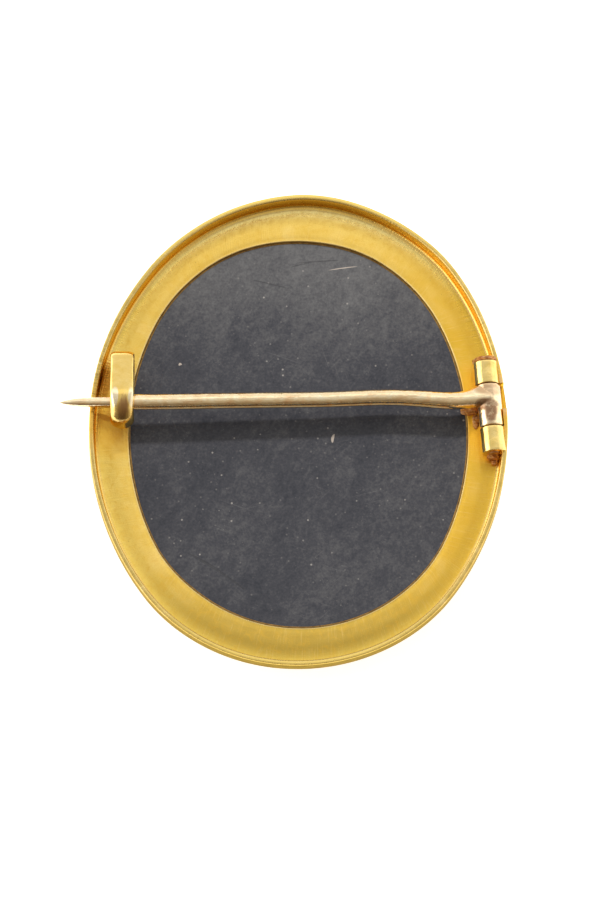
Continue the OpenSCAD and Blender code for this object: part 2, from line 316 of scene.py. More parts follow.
    # nicks and file strokes on the rim beside the catch
    for ang, wdt, dep, side in ((171.2, 0.10, 0.05, 0), (172.3, 0.07, 0.03, 0), (173.0, 0.12, 0.04, 1), (174.4, 0.07, 0.05, 0),
                                (175.3, 0.16, 0.05, 1), (176.4, 0.08, 0.03, 0), (168.9, 0.09, 0.03, 1), (166.0, 0.08, 0.03, 0),
                                (25.0, 0.09, 0.03, 0), (27.5, 0.07, 0.03, 1), (30.4, 0.09, 0.03, 0), (33.0, 0.08, 0.02, 0),
                                (201.0, 0.12, 0.025, 0), (246.0, 0.12, 0.02, 0), (318.0, 0.12, 0.025, 0), (118.0, 0.1, 0.02, 1)):
        a0 = math.radians(ang)
        k = int(np.argmin(np.abs(np.arctan2(po[:, 1], po[:, 0]) % (2 * np.pi) - a0)))
        g = np.exp(-((arc - arc[k]) / wdt) ** 2)
        for j, (fam, d, z, zone) in enumerate(prof):
            if zone in ("rim", "edge"):
                w = smoothstep(0.45, 0.05, d) if side == 0 else smoothstep(0.05, 0.4, d)
                ring[:, j, 2] -= g * dep * (0.4 + 0.6 * w)
    # distance along the section, for the texture
    mid = n // 8
    seg = np.linalg.norm(np.diff(ring[mid], axis=0), axis=1)
    vdist[1:] = np.cumsum(seg)
    uv = np.zeros((n, m, 2))
    uv[..., 0] = arc[:, None]
    uv[..., 1] = vdist[None, :]
    ob = new_mesh("setting_frame", ring.reshape(-1, 3), grid_faces(n, m, True, True),
                  uv=uv.reshape(-1, 2), attrs={"zone_" + k: v.ravel() for k, v in zones.items()})
    return ob


def lathe(name, prof, lo, hi, seg=96, closed=True, uv=True):
    """Turned body on the hinge axis. prof rows: [distance along the axis, radius]."""
    prof = np.asarray(prof, float)
    e1 = np.array([math.cos(LEAN), math.sin(LEAN), 0.0])
    e2 = np.array([0, 0, 1.0])
    th = np.linspace(0, 2 * np.pi, seg, endpoint=False)
    v = []
    for s, r in prof:
        for t in th:
            v.append(HINGE + AXIS * s + (e1 * math.cos(t) + e2 * math.sin(t)) * r)
    k = len(prof)
    f = grid_faces(k, seg, closed, True, flip=False)
    if not closed:
        f.append(tuple(range(seg))[::-1])
        f.append(tuple((k - 1) * seg + j for j in range(seg)))
    d = np.concatenate([[0], np.cumsum(np.linalg.norm(np.diff(prof, axis=0), axis=1))])
    uvs = np.stack([np.tile(th * KNUCKLE_R, k), np.repeat(d, seg)], -1)
    return new_mesh(name, np.array(v), f, uv=uvs)


def tube_profile(lo, hi, r, bore, c=0.07):
    p = []
    p.append([lo + 0.02, bore])
    p.append([lo, bore + 0.03])
    p.append([lo, bore + 0.2])
    p.append([lo, r - c - 0.05])
    # the two rounded edges use the same quarter circle
    for k in range(0, 6):
        t = math.radians(18 * k)
        p.append([lo + c - c * math.cos(t), r - c + c * math.sin(t)])
    for q in np.linspace(0.12, 0.88, 14):
        s = lo + (hi - lo) * q
        p.append([s, r - 0.006 * (1 + math.sin(q * 9.0 + lo))])
    for k in range(5, -1, -1):
        t = math.radians(18 * k)
        p.append([hi - c + c * math.cos(t), r - c + c * math.sin(t)])
    p.append([hi, r - c - 0.05])
    p.append([hi, bore + 0.2])
    p.append([hi, bore + 0.03])
    p.append([hi - 0.02, bore])
    return p


# ------------------------------------------------------------------ catch
def build_catch():
    leg = math.atan2(0.96, 0.28)
    path = []          # y, z, normal angle, fullness
    foot_y = HOOK_Y + 0.9
    for k in range(10):
        path.append((foot_y + (BEND_Y - foot_y) * k / 10, BEND_Z - BEND_R, -math.pi / 2, 1.0))
    for k in range(41):
        t = -math.pi / 2 + (leg + math.pi / 2) * k / 40
        path.append((BEND_Y + BEND_R * math.cos(t), BEND_Z + BEND_R * math.sin(t), t, 1.0))
    leg_len = 0.96 * CATCH_LEN - 0.28 * 0.1
    p0 = (BEND_Y + BEND_R * math.cos(leg), BEND_Z + BEND_R * math.sin(leg))
    for k in range(1, 20):
        q = leg_len * k / 20
        path.append((p0[0] - 0.96 * q, p0[1] + 0.28 * q, leg, 1.0))
    close = 156
    for k in range(0, 49):
        t = leg + (math.radians(close) - leg) * k / 48
        path.append((HOOK_Y + HOOK_R * math.cos(t), HOOK_Z + HOOK_R * math.sin(t), t, 1.0))
    # round free end: the width closes like a semicircle
    for k in range(1, 25):
        e = math.radians(90 * k / 24)
        t = math.radians(close + (180 - close) * math.sin(e))
        path.append((HOOK_Y + HOOK_R * math.cos(t), HOOK_Z + HOOK_R * math.sin(t), t, max(math.cos(e), 0.02)))
    path = np.array(path)
    # section: [across, depth of the outer face], then the eased back of the strip
    xs = [-math.cos(math.pi * k / 48) for k in range(49)]
    back = [(0.985, 0.86), (0.95, 0.95), (0.88, 0.99), (0.75, 1.0), (0.4, 0.99), (0.0, 0.985), (-0.4, 0.99), (-0.75, 1.0), (-0.88, 0.99), (-0.95, 0.95), (-0.985, 0.86)]
    sec = np.array([(x, 0.0) for x in xs] + back)
    n, m = len(path), len(sec)
    v = np.zeros((n, m, 3))
    s = np.concatenate([[0], np.cumsum(np.linalg.norm(np.diff(path[:, :2], axis=0), axis=1))])
    for i, (y, z, t, f) in enumerate(path):
        w = CATCH_W / 2 * (0.985 + 0.012 * math.sin(s[i] * 1.7))
        # the strip is filed flatter along the leg and left half round at the hook
        hook = float(smoothstep(leg + 0.05, leg + 0.75, t)) if i > 60 else 0.0
        p = 3.5 - 1.5 * hook
        arch = 1 - (1 - np.abs(sec[:49, 0]) ** p) ** (1 / p)
        dep = sec[:, 1].copy()
        dep[:49] = arch * (0.62 + 0.17 * hook)
        x = CATCH_X + sec[:, 0] * w * f ** 0.9
        d = 0.006 + dep * CATCH_T
        if f < 1:
            c = 0.5 * CATCH_T
            d = c + (d - c) * (0.30 + 0.70 * f ** 0.6)
        v[i, :, 0] = x
        v[i, :, 1] = y - d * math.cos(t)
        v[i, :, 2] = z - d * math.sin(t)
    uv = np.zeros((n, m, 2))
    uv[..., 0] = s[:, None]
    uv[..., 1] = sec[None, :, 0]
    f = grid_faces(n, m, False, True)
    f.append(tuple(range(m)))
    f.append(tuple((n - 1) * m + k for k in range(m - 1, -1, -1)))
    ob = new_mesh("catch", v.reshape(-1, 3), f, uv=uv.reshape(-1, 2))
    me = ob.data
    bpy.context.view_layer.update()
    import bmesh
    bm = bmesh.new()
    bm.from_mesh(me)
    bmesh.ops.recalc_face_normals(bm, faces=bm.faces)
    bm.to_mesh(me)
    bm.free()
    return ob


def blob(name, centre, size, seed, rough=0.18, seg=64):
    """A lump of solder: a flattened dome with an uneven surface."""
    r = np.random.RandomState(seed)
    ph = r.uniform(0, 6.28, (9, 3))
    kk = r.uniform(1.5, 5.5, (9, 3))
    v = []
    for i in range(seg // 2 + 1):
        th = math.pi * i / (seg // 2)
        for j in range(seg):
            fi = 2 * math.pi * j / seg
            d = np.array([math.sin(th) * math.cos(fi), math.sin(th) * math.sin(fi), math.cos(th)])
            q = sum(math.sin(float(kk[a] @ d) + ph[a, 0]) for a in range(9)) / 9
            q2 = sum(math.sin(3.1 * float(kk[a] @ d[::-1]) + ph[a, 1]) for a in range(9)) / 9
            v.append(np.array(centre) + d * np.array(size) * (1 + rough * q * 2 + rough * 0.5 * q2))
    return new_mesh(name, np.array(v), grid_faces(seg // 2 + 1, seg, False, True))


# ------------------------------------------------------------------ pin
def stem_line(x):
    """Centre of the stem at x, with its slight bends near the hinge."""
    x = np.asarray(x, float)
    t = (x - ROOT[0]) / (POINT[0] - ROOT[0])
    y = ROOT[1] + t * (POINT[1] - ROOT[1])
    z = ROOT[2] + t * (POINT[2] - ROOT[2])
    y = y + 0.19 * np.exp(-((x - 6.8) / 4.2) ** 2) + 0.06 * np.exp(-((x + 3.0) / 4.0) ** 2)
    y = y - 0.05 * np.exp(-((x - 11.9) / 1.2) ** 2) + 0.12 * smoothstep(12.6, 14.4, x) - 0.12 * smoothstep(6.5, 12.4, x)
    y = y + 0.008 * np.sin(x * 0.8 + 0.7) * smoothstep(-16, -10, x)
    return np.stack([x, y, z], -1)


def stem_radius(x):
    xs = [-19.09, -19.04, -18.95, -18.7, -18.3, -17.8, -17.2, -16.2, -15.05, -14.1, -12.9, -8, 2.0, 5.0, 8.3, 11.0, 12.4, 14.8]
    rs = [0.012, 0.035, 0.07, 0.15, 0.25, 0.325, 0.380, 0.405, 0.435, 0.53, 0.62, 0.632, 0.630, 0.635, 0.655, 0.685, 0.70, 0.72]
    return np.interp(x, xs, rs)


def stem_section(seg):
    """Unit section of the drawn stem: round, with a narrow ledge low on the side of the catch's mouth."""
    th = np.linspace(0, 2 * np.pi, seg, endpoint=False)
    y, z = np.cos(th), np.sin(th)          # y here points away from the mouth
    out = np.stack([y, z], -1)
    # angle from upright towards -Y
    a = np.degrees(np.arctan2(-y, z))
    # steep face above the ledge, the ledge itself, and the turn below it
    keyed = [(52, 0.788, 0.616), (60, 0.812, 0.42), (67, 0.826, 0.22), (72, 0.842, 0.135), (78, 0.912, 0.10), (84, 0.975, 0.06), (89, 1.0, -0.02), (100, 0.985, -0.174)]
    ka = [k[0] for k in keyed]
    m = (a >= 52) & (a <= 100)
    out[m, 0] = -np.interp(a[m], ka, [k[1] for k in keyed])
    out[m, 1] = np.interp(a[m], ka, [k[2] for k in keyed])
    return out


def build_pin():
    # long stem
    xs = np.concatenate([[-19.1 + 0.004], -19.1 + np.array([0.01, 0.03, 0.06, 0.1, 0.15, 0.22, 0.3, 0.4, 0.52, 0.66, 0.82, 1.0]),
                         np.arange(-17.95, 13.9, 0.11)])
    seg = 120
    unit = stem_section(seg)
    c = stem_line(xs)
    t = np.gradient(c, axis=0)
    t /= np.linalg.norm(t, axis=1)[:, None]
    up = np.array([0, 0, 1.0])
    e1 = np.cross(t, up)
    e1 /= np.linalg.norm(e1, axis=1)[:, None]
    e1 *= np.sign(e1[:, 1])[:, None]        # towards +Y
    e2 = np.cross(t, e1)
    e2 *= np.sign(e2[:, 2])[:, None]        # up
    th = np.linspace(0, 2 * np.pi, seg, endpoint=False)
    r = stem_radius(xs)
    # shallow hammer flats and drawn marks
    v = np.zeros((len(xs), seg, 3))
    for i in range(len(xs)):
        flat = 1 - 0.010 * (1 + np.sin(2 * th + 0.25 * xs[i])) * smoothstep(3, 9, xs[i]) \
                 - 0.008 * np.clip(np.sin(xs[i] * 1.9 + np.cos(th) * 2.0), 0, 1) * smoothstep(2, 8, xs[i])
        rr = r[i] * flat
        # the ledge runs out before the catch and at the root
        k = float(smoothstep(-15.6, -13.4, xs[i]) * smoothstep(13.6, 12.6, xs[i]))
        sy = unit[:, 0] * k + np.cos(th) * (1 - k)
        sz = unit[:, 1] * k + np.sin(th) * (1 - k)
        v[i] = c[i] + (sy * rr)[:, None] * e1[i] + (sz * rr)[:, None] * e2[i]
    f = grid_faces(len(xs), seg, False, True)
    f.append(tuple(range(seg)))
    f.append(tuple((len(xs) - 1) * seg + k for k in range(seg - 1, -1, -1)))
    ob = new_mesh("pin_rod", v.reshape(-1, 3), f)
    import bmesh
    bm = bmesh.new()
    bm.from_mesh(ob.data)
    bmesh.ops.recalc_face_normals(bm, faces=bm.faces)
    bm.to_mesh(ob.data)
    bm.free()
    return ob


def build_pin_end():
    """The middle knuckle and the swelling where the stem runs into it, as one surface."""
    parts = [lathe("k", tube_profile(MID[0], MID[1], KNUCKLE_R - 0.012, 0.2, 0.09), 0, 0, 72)]
    # root of the stem
    xs = np.linspace(11.6, 15.75, 34)
    seg = 40
    c = stem_line(xs)
    th = np.linspace(0, 2 * np.pi, seg, endpoint=False)
    rr = np.interp(xs, [11.6, 12.0, 12.5, 13.6, 14.3, 15.0, 15.4, 15.6, 15.75], [0.45, 0.62, 0.705, 0.73, 0.75, 0.74, 0.66, 0.52, 0.30])
    v = []
    for i in range(len(xs)):
        # the root swells towards the upper half of the knuckle
        k = smoothstep(13.3, 14.7, xs[i]) * smoothstep(15.7, 15.0, xs[i])
        for a in th:
            ry = rr[i] * (1 + 0.55 * k * (math.cos(a) > 0) * abs(math.cos(a)))
            v.append([xs[i], c[i, 1] + math.cos(a) * ry, c[i, 2] + math.sin(a) * rr[i] * (1 - 0.08 * k)])
    f = grid_faces(len(xs), seg, False, True)
    f.append(tuple(range(seg)))
    f.append(tuple((len(xs) - 1) * seg + k for k in range(seg - 1, -1, -1)))
    parts.append(new_mesh("r", np.array(v), f))
    import bmesh
    bm = bmesh.new()
    for p in parts:
        bm.from_mesh(p.data)
    bmesh.ops.recalc_face_normals(bm, faces=bm.faces)
    me = bpy.data.meshes.new("pin_knuckle")
    bm.to_mesh(me)
    bm.free()
    for p in parts:
        bpy.data.objects.remove(p)
    ob = bpy.data.objects.new("pin_knuckle", me)
    bpy.context.scene.collection.objects.link(ob)
    m = ob.modifiers.new("vox", "REMESH")
    m.mode = "VOXEL"
    m.voxel_size = 0.000042
    m2 = ob.modifiers.new("sm", "SMOOTH")
    m2.factor = 0.5
    m2.iterations = 7
    bpy.context.view_layer.update()
    apply_mods(ob)
    bore = lathe("bore", [[MID[0] - 1, RIVET_R + 0.05], [MID[1] + 1, RIVET_R + 0.05]], 0, 0, 48, closed=False)
    boolean(ob, bore)
    smooth_all(ob)
    return ob


# ------------------------------------------------------------------ stone
def disc_grid(n):
    """Even grid on the unit disc, as an n by n sheet."""
    a = np.linspace(-1, 1, n)
    x, y = np.meshgrid(a, a, indexing="ij")
    r = np.where(np.abs(x) > np.abs(y), x, y)
    with np.errstate(divide="ignore", invalid="ignore"):
        ph = np.where(np.abs(x) > np.abs(y), (np.pi / 4) * (y / np.where(x == 0, 1, x)),
                      (np.pi / 2) - (np.pi / 4) * (x / np.where(y == 0, 1, y)))
    return r * np.cos(ph), r * np.sin(ph)


def smax(a, b, k):
    return 0.5 * (a + b + np.sqrt((a - b) ** 2 + k * k)) - 0.5 * k


def petal(x, y, px, py, ang, length, width, base, lip, cup):
    """Height of one cupped petal that starts at (px, py) and points along ang."""
    c, s = math.cos(ang), math.sin(ang)
    u = ((x - px) * c + (y - py) * s) / length
    w = (-(x - px) * s + (y - py) * c) / (width / 2)
    half = np.sqrt(np.clip(u, 0, 1)) * np.sqrt(np.clip(1.0 - np.clip(u, 0, 1) ** 3.2, 0, 1)) * 1.12
    half = half * (1 - 0.05 * np.cos(3 * w))
    q = np.abs(w) / np.maximum(half, 1e-3)
    inside = (u > 0.0) & (u < 1.0) & (q < 1)
    edge = np.clip(np.minimum((1 - q) * half * width / 2, (1 - u) * length), 0, None)
    body = base + lip * smoothstep(0.25, 1.0, u) - cup * np.sin(np.pi * np.clip(u, 0, 1)) * (1 - q ** 2)
    body = body + 0.035 * np.sin(w * 9 + u * 1.5) * smoothstep(0.1, 0.6, u) * smoothstep(1.0, 0.5, q)
    roll = np.sqrt(np.clip(1 - (1 - np.clip(edge / 0.28, 0, 1)) ** 2, 0, 1))
    return np.where(inside, body * (0.25 + 0.75 * roll) * np.clip(edge / 0.05, 0, 1), 0.0)


def leaf_height(x, y, lx, ly, ang, length, width, h=0.52, bend=0.12):
    c, s = math.cos(ang), math.sin(ang)
    u = ((x - lx) * c + (y - ly) * s) / length
    w = (-(x - lx) * s + (y - ly) * c) - bend * length * np.sin(np.pi * np.clip(u, 0, 1)) * 0.5
    half = width / 2 * np.sin(np.pi * np.clip(u, 0, 1) ** 0.85) ** 0.9
    serr = 1 + 0.05 * np.abs(np.sin(u * 26))
    half = half * serr
    q = np.abs(w) / np.maximum(half, 1e-3)
    inside = (u > 0) & (u < 1) & (q < 1)
    edge = (1 - q) * half
    body = h * (0.45 + 0.55 * np.sin(np.pi * np.clip(q, 0, 1) ** 0.8 * 0.95 + 0.15))
    body = body * (0.55 + 0.45 * np.sin(np.pi * np.clip(u, 0, 1)))
    mid = np.exp(-(w / 0.11) ** 2)
    side = np.clip(np.sin((u * length - 0.9 * np.abs(w)) * 2 * math.pi / 0.95), 0, 1) ** 6
    body = body - 0.16 * mid - 0.07 * side * smoothstep(0.05, 0.3, q) * smoothstep(1, 0.7, q)
    roll = np.sqrt(np.clip(1 - (1 - np.clip(edge / 0.16, 0, 1)) ** 2, 0, 1))
    return np.where(inside, body * roll, 0.0)


def twig(x, y, pts, r):
    best = np.full(x.shape, 1e9)
    for (x0, y0), (x1, y1) in zip(pts[:-1], pts[1:]):
        dx, dy = x1 - x0, y1 - y0
        t = np.clip(((x - x0) * dx + (y - y0) * dy) / (dx * dx + dy * dy), 0, 1)
        best = np.minimum(best, np.hypot(x - x0 - t * dx, y - y0 - t * dy))
    return np.sqrt(np.clip(r * r - best * best, 0, None)) * 1.25


def relief_height(x, y):
    h = np.zeros_like(x)
    # twigs
    for pts, r in ((((0, 4), (0.7, 7), (0.2, 10), (-0.7, 13.3)), 0.17), (((2, 4), (4.4, 7.4), (7.2, 10.6)), 0.17),
                   (((-2, 3), (-4.0, 5.6), (-5.4, 7.4)), 0.18), (((0, -4), (-0.6, -7), (0.2, -10.4), (0.6, -13)), 0.17),
                   (((-2, -3), (-5, -5.6), (-8.6, -9.2)), 0.17), (((2.4, -3), (4.2, -4.8), (5.5, -6.6)), 0.18),
                   (((3, 1.6), (6.4, 3.2), (10.4, 4.9)), 0.15), (((-3, -0.6), (-7, -1.2), (-11.0, -2.3)), 0.15),
                   (((3, -0.9), (7, -1.7), (11, -3.6)), 0.15), (((-3, 1.5), (-7.4, 2.6), (-11.6, 4.0)), 0.15)):
        h = np.maximum(h, twig(x, y, pts, r))
    for lx, ly, ang, ln, wd, bd in ((3.2, 5.4, 52, 8.0, 3.4, 0.10), (-0.6, 6.2, 92, 8.5, 3.0, -0.08), (-7.0, 2.4, 160, 5.4, 2.6, 0.12),
                                    (-4.4, -4.2, 228, 7.6, 3.4, 0.10), (0.4, -5.2, 272, 8.8, 3.0, -0.08), (6.8, -1.6, 335, 5.4, 2.6, 0.12),
                                    (6.2, 3.4, 20, 5.6, 2.6, -0.12), (-6.4, -1.0, 196, 5.6, 2.6, -0.12),
                                    (1.8, 8.4, 74, 4.4, 1.7, 0.15), (-1.8, -8.2, 254, 4.4, 1.7, 0.15)):
        h = np.maximum(h, leaf_height(x, y, lx, ly, math.radians(ang), ln, wd, bend=bd))
    # small flowers
    for fx, fy, rot in ((-5.4, 7.4, 12), (5.5, -6.6, 40), (6.6, 7.6, 70), (-6.6, -6.9, 25)):
        size = 2.75 if abs(fx) < 6 else 1.9
        for k in range(5):
            a = math.radians(rot + 72 * k)
            h = np.maximum(h, petal(x, y, fx, fy, a, size, size * 1.02, 0.36, 0.20, 0.16))
        rr = np.hypot(x - fx, y - fy)
        h = np.maximum(h, 0.62 * np.sqrt(np.clip(1 - (rr / (0.30 * size)) ** 2, 0, 1)) * (1 + 0.10 * np.sin(12 * np.arctan2(y - fy, x - fx)) * (rr > 0.15 * size)))
    # the rose: four rings of petals that wind towards the middle
    for count, start, ln, wd, base, lip, cup, rot in ((7, 1.9, 4.3, 4.3, 0.40, 0.30, 0.20, 4), (6, 1.0, 3.7, 3.6, 0.62, 0.28, 0.20, 33),
                                                      (5, 0.5, 2.75, 2.9, 0.84, 0.22, 0.18, 12), (4, 0.15, 1.9, 2.1, 1.02, 0.16, 0.12, 50)):
        for k in range(count):
            a = math.radians(rot + 360 / count * k)
            # each ring overlaps its neighbour on one side
            hp = petal(x, y, start * math.cos(a), 0.4 + start * math.sin(a), a + 0.10, ln, wd, base + 0.02 * (k % 2), lip, cup)
            h = np.maximum(h, hp)
    rr, th = np.hypot(x, y - 0.4), np.arctan2(y - 0.4, x)
    bud = 1.26 * np.sqrt(np.clip(1 - (rr / 1.35) ** 2, 0, 1)) ** 0.5
    bud = bud - 0.14 * (0.5 + 0.5 * np.cos(2 * th - rr * 5.2)) ** 3 * smoothstep(0.05, 0.3, rr)
    h = np.maximum(h, np.where(rr < 1.35, bud, 0))
    return np.clip(h, 0, 1.28)


def build_stone():
    n = 219
    u, v = disc_grid(n)
    rad, ph = np.hypot(u, v), np.arctan2(v, u)
    # edge points by the normal's angle, so that rows follow the oval
    al_t = np.linspace(-np.pi, np.pi, 4001)
    edge_all = oval_at(OPN, al_t) + np.stack([np.cos(al_t), np.sin(al_t)], -1) * (STONE_LAP - 0.02)
    pol = np.unwrap(np.arctan2(edge_all[:, 1], edge_all[:, 0]))
    rr = np.hypot(edge_all[:, 0], edge_all[:, 1])
    a_ell, b_ell = OPEN_A, OPEN_B
    # direction of each grid point on the stretched disc
    dirx, diry = np.cos(ph) * a_ell, np.sin(ph) * b_ell
    pa = np.arctan2(diry, dirx)
    re = np.interp(pa, pol, rr, period=2 * np.pi)
    verts, faces, white, marks, front_f = [], [], [], [], []

    def side(z_of, shrink, flip, off):
        R = re - shrink
        x, y = rad * R * np.cos(pa), rad * R * np.sin(pa)
        z, w = z_of(x, y, R)
        verts.append(np.stack([x, y, z], -1).reshape(-1, 3))
        white.append(w.ravel())
        faces.extend([tuple(i + off for i in f) for f in grid_faces(n, n, flip=flip)])
        front_f.append(np.full(n * n, 1.0 if flip else 0.0))
        ring = ([(i, 0) for i in range(n - 1)] + [(n - 1, j) for j in range(n - 1)]
                + [(i, n - 1) for i in range(n - 1, 0, -1)] + [(0, j) for j in range(n - 1, 0, -1)])
        return [off + i * n + j for i, j in ring]

    def back(x, y, R):
        z = STONE_BACK - 0.02 + 0.006 * np.sin(x * 0.31 + 1.0) * np.cos(y * 0.27) - 0.012 * smoothstep(0.9, 1.0, np.hypot(x, y) / np.maximum(R, 1e-6))
        # slow hollows left by hand lapping
        z = z - 0.006 * (0.5 + 0.5 * np.sin(0.9 * x + 0.35 * y)) * (0.5 + 0.5 * np.sin(0.5 * y - 0.3 * x + 2))
        return z, np.zeros_like(x)

    def front(x, y, R):
        h = relief_height(x, y)
        return STONE_GROUND - h + 0.02, smoothstep(0.05, 0.22, h)

    b_ring = side(back, 0.0, False, 0)
    f_ring = side(front, 0.27, True, n * n)
    # edge wall with a bevel towards the front
    base = 2 * n * n
    lastv = verts[0][np.array(b_ring)]
    rows = []
    for dz, sh in ((-0.06, 0.0), (-1.2, 0.0), (-1.98, 0.01)):
        q = lastv.copy()
        q[:, 2] = STONE_BACK + dz
        d = q[:, :2] / np.linalg.norm(q[:, :2], axis=1)[:, None]
        q[:, :2] -= d * sh
        verts.append(q)
        white.append(np.zeros(len(q)))
        front_f.append(np.zeros(len(q)))
        rows.append([base + i for i in range(len(q))])
        base += len(q)
    chain = [b_ring] + rows + [f_ring]
    k = len(b_ring)
    for a, b in zip(chain[:-1], chain[1:]):
        for i in range(k):
            j = (i + 1) % k
            faces.append((a[i], b[i], b[j], a[j]))
    V = np.concatenate(verts)
    ob = new_mesh("stone_body", V, faces, uv=V[:, :2], attrs={"white": np.concatenate(white), "front": np.concatenate(front_f)})
    import bmesh
    bm = bmesh.new()
    bm.from_mesh(ob.data)
    bmesh.ops.recalc_face_normals(bm, faces=bm.faces)
    bm.to_mesh(ob.data)
    bm.free()
    return ob


# ------------------------------------------------------------------ materials
class Mat:
    def __init__(self, name):
        self.m = bpy.data.materials.new(name)
        self.m.use_nodes = True
        self.t = self.m.node_tree
        self.t.nodes.clear()
        self.out = self.t.nodes.new("ShaderNodeOutputMaterial")
        self.bsdf = self.t.nodes.new("ShaderNodeBsdfPrincipled")
        self.t.links.new(self.bsdf.outputs[0], self.out.inputs[0])
        tc = self.t.nodes.new("ShaderNodeTexCoord")
        sc = self.t.nodes.new("ShaderNodeVectorMath")
        sc.operation = "SCALE"
        sc.inputs["Scale"].default_value = 1000.0
        self.t.links.new(tc.outputs["Object"], sc.inputs[0])
        self.pos = sc.outputs[0]
        self.uv = tc.outputs["UV"]

    def node(self, kind, **kw):
        nd = self.t.nodes.new(kind)
        for k, v in kw.items():
            setattr(nd, k, v)
        return nd

    def put(self, sock, v):
        if isinstance(v, bpy.types.NodeSocket):
            self.t.links.new(v, sock)
        elif v is not None:
            if hasattr(sock.default_value, "__len__") and not hasattr(v, "__len__"):
                sock.default_value = [v] * len(sock.default_value)
            elif hasattr(sock.default_value, "__len__") and len(sock.default_value) == 4 and len(v) == 3:
                sock.default_value = (*v, 1.0)
            else:
                sock.default_value = v

    def math(self, op, a, b=None, c=None, clamp=False):
        nd = self.node("ShaderNodeMath", operation=op, use_clamp=clamp)
        for i, v in enumerate((a, b, c)):
            if v is not None:
                self.put(nd.inputs[i], v)
        return nd.outputs[0]

    def mapping(self, vec, scale=(1, 1, 1), rot=(0, 0, 0), loc=(0, 0, 0)):
        nd = self.node("ShaderNodeMapping")
        self.put(nd.inputs["Vector"], vec)
        nd.inputs["Scale"].default_value = scale
        nd.inputs["Rotation"].default_value = rot
        nd.inputs["Location"].default_value = loc
        return nd.outputs[0]

    def turned(self, vec, scale, rot):
        """Coordinates turned first and stretched afterwards, for marks that run askew."""
        return self.mapping(self.mapping(vec, rot=(0, 0, rot)), scale)

    def noise(self, vec, scale=1.0, detail=4.0, rough=0.55, dist=0.0):
        nd = self.node("ShaderNodeTexNoise")
        self.put(nd.inputs["Vector"], vec)
        nd.inputs["Scale"].default_value = scale
        nd.inputs["Detail"].default_value = detail
        nd.inputs["Roughness"].default_value = rough
        nd.inputs["Distortion"].default_value = dist
        return nd.outputs[0]

    def voronoi(self, vec, scale=1.0, feature="F1", rand=1.0, out="Distance"):
        nd = self.node("ShaderNodeTexVoronoi", feature=feature)
        self.put(nd.inputs["Vector"], vec)
        nd.inputs["Scale"].default_value = scale
        nd.inputs["Randomness"].default_value = rand
        return nd.outputs[out]

    def ramp(self, f, stops, mode="LINEAR"):
        nd = self.node("ShaderNodeValToRGB")
        self.put(nd.inputs[0], f)
        cr = nd.color_ramp
        cr.interpolation = mode
        while len(cr.elements) < len(stops):
            cr.elements.new(0.5)
        for e, (p, c) in zip(cr.elements, stops):
            e.position = p
            e.color = (*c, 1.0) if hasattr(c, "__len__") else (c, c, c, 1.0)
        return nd.outputs[0]

    def range(self, f, a, b, c=0.0, d=1.0, smooth=False):
        nd = self.node("ShaderNodeMapRange", clamp=True)
        if smooth:
            nd.interpolation_type = "SMOOTHSTEP"
        self.put(nd.inputs[0], f)
        for i, v in zip((1, 2, 3, 4), (a, b, c, d)):
            nd.inputs[i].default_value = v
        return nd.outputs[0]

    def mix(self, f, a, b, blend="MIX"):
        nd = self.node("ShaderNodeMix", data_type="RGBA", blend_type=blend)
        self.put(nd.inputs[0], f)
        self.put(nd.inputs[6], a)
        self.put(nd.inputs[7], b)
        return nd.outputs[2]

    def attr(self, name):
        nd = self.node("ShaderNodeAttribute", attribute_name=name)
        return nd.outputs["Fac"]

    def xyz(self, vec):
        nd = self.node("ShaderNodeSeparateXYZ")
        self.put(nd.inputs[0], vec)
        return nd.outputs

    def bump(self, height, dist, strength=1.0, normal=None):
        nd = self.node("ShaderNodeBump")
        self.put(nd.inputs["Height"], height)
        nd.inputs["Distance"].default_value = dist
        nd.inputs["Strength"].default_value = strength
        if normal is not None:
            self.put(nd.inputs["Normal"], normal)
        return nd.outputs[0]

    def set(self, **kw):
        names = {"color": "Base Color", "metal": "Metallic", "rough": "Roughness", "normal": "Normal", "coat": "Coat Weight",
                 "coat_rough": "Coat Roughness", "spec": "Specular IOR Level", "ior": "IOR", "sss": "Subsurface Weight"}
        for k, v in kw.items():
            self.put(self.bsdf.inputs[names[k]], v)


